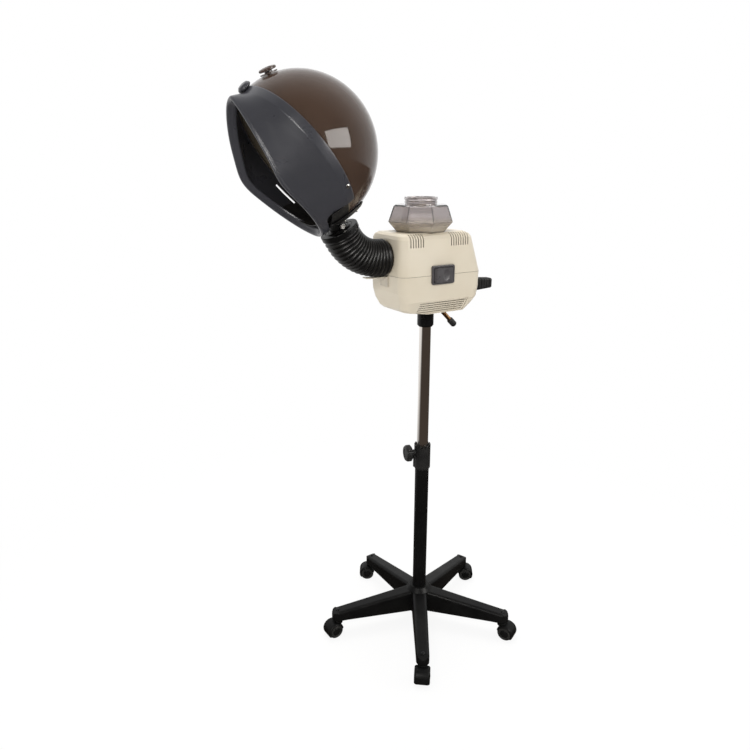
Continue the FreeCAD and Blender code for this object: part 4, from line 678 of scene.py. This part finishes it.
# %% Caster shapes
cover_outline = [(-19.1, 17.4), (-19.1, 18.2), (-18.6, 19.6), (-17.4, 20.9), (-15.6, 21.8),
                 (-13.0, 22.2), (13.0, 22.2), (15.6, 21.8), (17.4, 20.9), (18.6, 19.6),
                 (19.1, 18.2), (19.1, 17.4), (18.7, 17.4), (16.4, 19.7), (-16.4, 19.7),
                 (-18.7, 17.4)]
cover_start, cover_arc = math.radians(-31.8), math.radians(198.3)
web_radius, web_thickness, web_foot = 19.5, 8.0, -14.0
neck_radii = (12.5, 10.5)
neck_foot, neck_top = 15.0, 57.0
cap_outline = [(0.0, 19.7), (4.5, 19.5), (8.0, 19.0), (10.2, 18.2), (10.9, 17.4), (0.0, 17.4)]


def add_cover(mesh):
    """Curved cover about the axle, which lies along Y."""
    first = Vector((math.cos(cover_start), 0.0, math.sin(cover_start)))
    spin_part(mesh, [(first * radius + Vector((0.0, across, 0.0))) * MM
                     for across, radius in cover_outline], (0, -1, 0), cover_arc, steps=40)


def add_web(mesh):
    """Drum between the wheels, cut off flat above the floor."""
    web = bmesh.ops.create_cone(mesh, cap_ends=True, segments=56, radius1=web_radius * MM,
                                radius2=web_radius * MM, depth=web_thickness * MM)["verts"]
    bmesh.ops.rotate(mesh, verts=web, cent=(0, 0, 0), matrix=Matrix.Rotation(math.pi / 2, 3, "X"))
    web_edges = dict.fromkeys(edge for vertex in web for edge in vertex.link_edges)
    web_faces = dict.fromkeys(face for vertex in web for face in vertex.link_faces)
    cut = bmesh.ops.bisect_plane(mesh, geom=[*web, *web_edges, *web_faces],
                                 plane_co=(0, 0, web_foot * MM), plane_no=(0, 0, -1),
                                 clear_outer=True)["geom_cut"]
    bmesh.ops.holes_fill(mesh, edges=[edge for edge in cut if isinstance(edge, bmesh.types.BMEdge)])


def add_neck(mesh, trail, top):
    """Tapered neck over the stem, a trail ahead of the axle and up to the arm."""
    low, high = neck_radii
    neck = bmesh.ops.create_cone(mesh, cap_ends=True, segments=40, radius1=low * MM,
                                 radius2=high * MM, depth=top - neck_foot * MM)["verts"]
    bmesh.ops.translate(mesh, verts=neck, vec=(-trail, 0, (top + neck_foot * MM) / 2))


def add_caps(mesh):
    """Domed cap on the outside of each wheel."""
    for side in (-1, 1):
        spin_round(mesh, [(radius * MM, across * side * MM, 0.0) for radius, across in cap_outline],
                   axis=(0, 1, 0), steps=40, closed=False)


# %% [markdown]
# The shapes are made about an axle at the origin and then carried to each caster. Its X runs
# from the swivel to the axle, which trails behind it, and its Y along the axle.

# %% Five casters
for number in range(1, 6):
    swivel = Vector(joints["caster_%d_swivel" % number]["pos_m"])
    axle = Vector(joints["caster_%d_spin" % number]["pos_m"])
    along = Vector(joints["caster_%d_spin" % number]["axis"]).normalized()
    trailing = Vector((axle.x - swivel.x, axle.y - swivel.y, 0.0)).normalized()
    if trailing.cross(along).z < 0:
        along = -along
    turned = Matrix((trailing, along, Vector((0, 0, 1)))).transposed().to_4x4()
    stand = Matrix.Translation(axle) @ turned
    mesh = bmesh.new()
    add_cover(mesh)
    add_web(mesh)
    add_neck(mesh, (swivel - axle).xy.length, (neck_top - floor_level) * MM - axle.z)
    bmesh.ops.transform(mesh, matrix=stand, verts=mesh.verts)
    cover = piece("caster_%d_cover" % number, mesh, base_black,
                  "caster_%d_fork" % number)
    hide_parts("caster_%d_body" % number)
    mesh = bmesh.new()
    add_caps(mesh)
    bmesh.ops.transform(mesh, matrix=stand, verts=mesh.verts)
    piece("caster_%d_caps" % number, mesh, base_black,
          "caster_%d_rollers" % number)

# %% [markdown]
# Each caster's stem ends in a small round plug on top of its arm. A ray from above finds the
# arm's surface there, and a flattened ball is set into it.

# %% Stem plugs
plug_radius = 5.2
plug_flatness = 0.45
above_the_base = 0.3
for number in range(1, 6):
    swivel = Vector(joints["caster_%d_swivel" % number]["pos_m"])
    _, surface, normal, _ = nodes["star_base"].ray_cast(
        Vector((swivel.x, swivel.y, above_the_base)), Vector((0, 0, -1)))
    mesh = bmesh.new()
    bmesh.ops.create_uvsphere(mesh, u_segments=28, v_segments=14, radius=plug_radius * MM)
    bmesh.ops.scale(mesh, vec=(1.0, 1.0, plug_flatness), verts=mesh.verts)
    tilt = normal.to_track_quat("Z", "Y").to_matrix().to_4x4()
    bmesh.ops.transform(mesh, matrix=Matrix.Translation(surface) @ tilt, verts=mesh.verts)
    piece("stem_plug_%d" % number, mesh, tube_black, "base")
    print("plug", number, "at", [round(value, 4) for value in surface])

# %% [markdown]
# ## View
# The view transform is the plain one, which shows each colour as it was mixed.

# %% Finish
scene = bpy.context.scene
scene.view_settings.view_transform = "Standard"
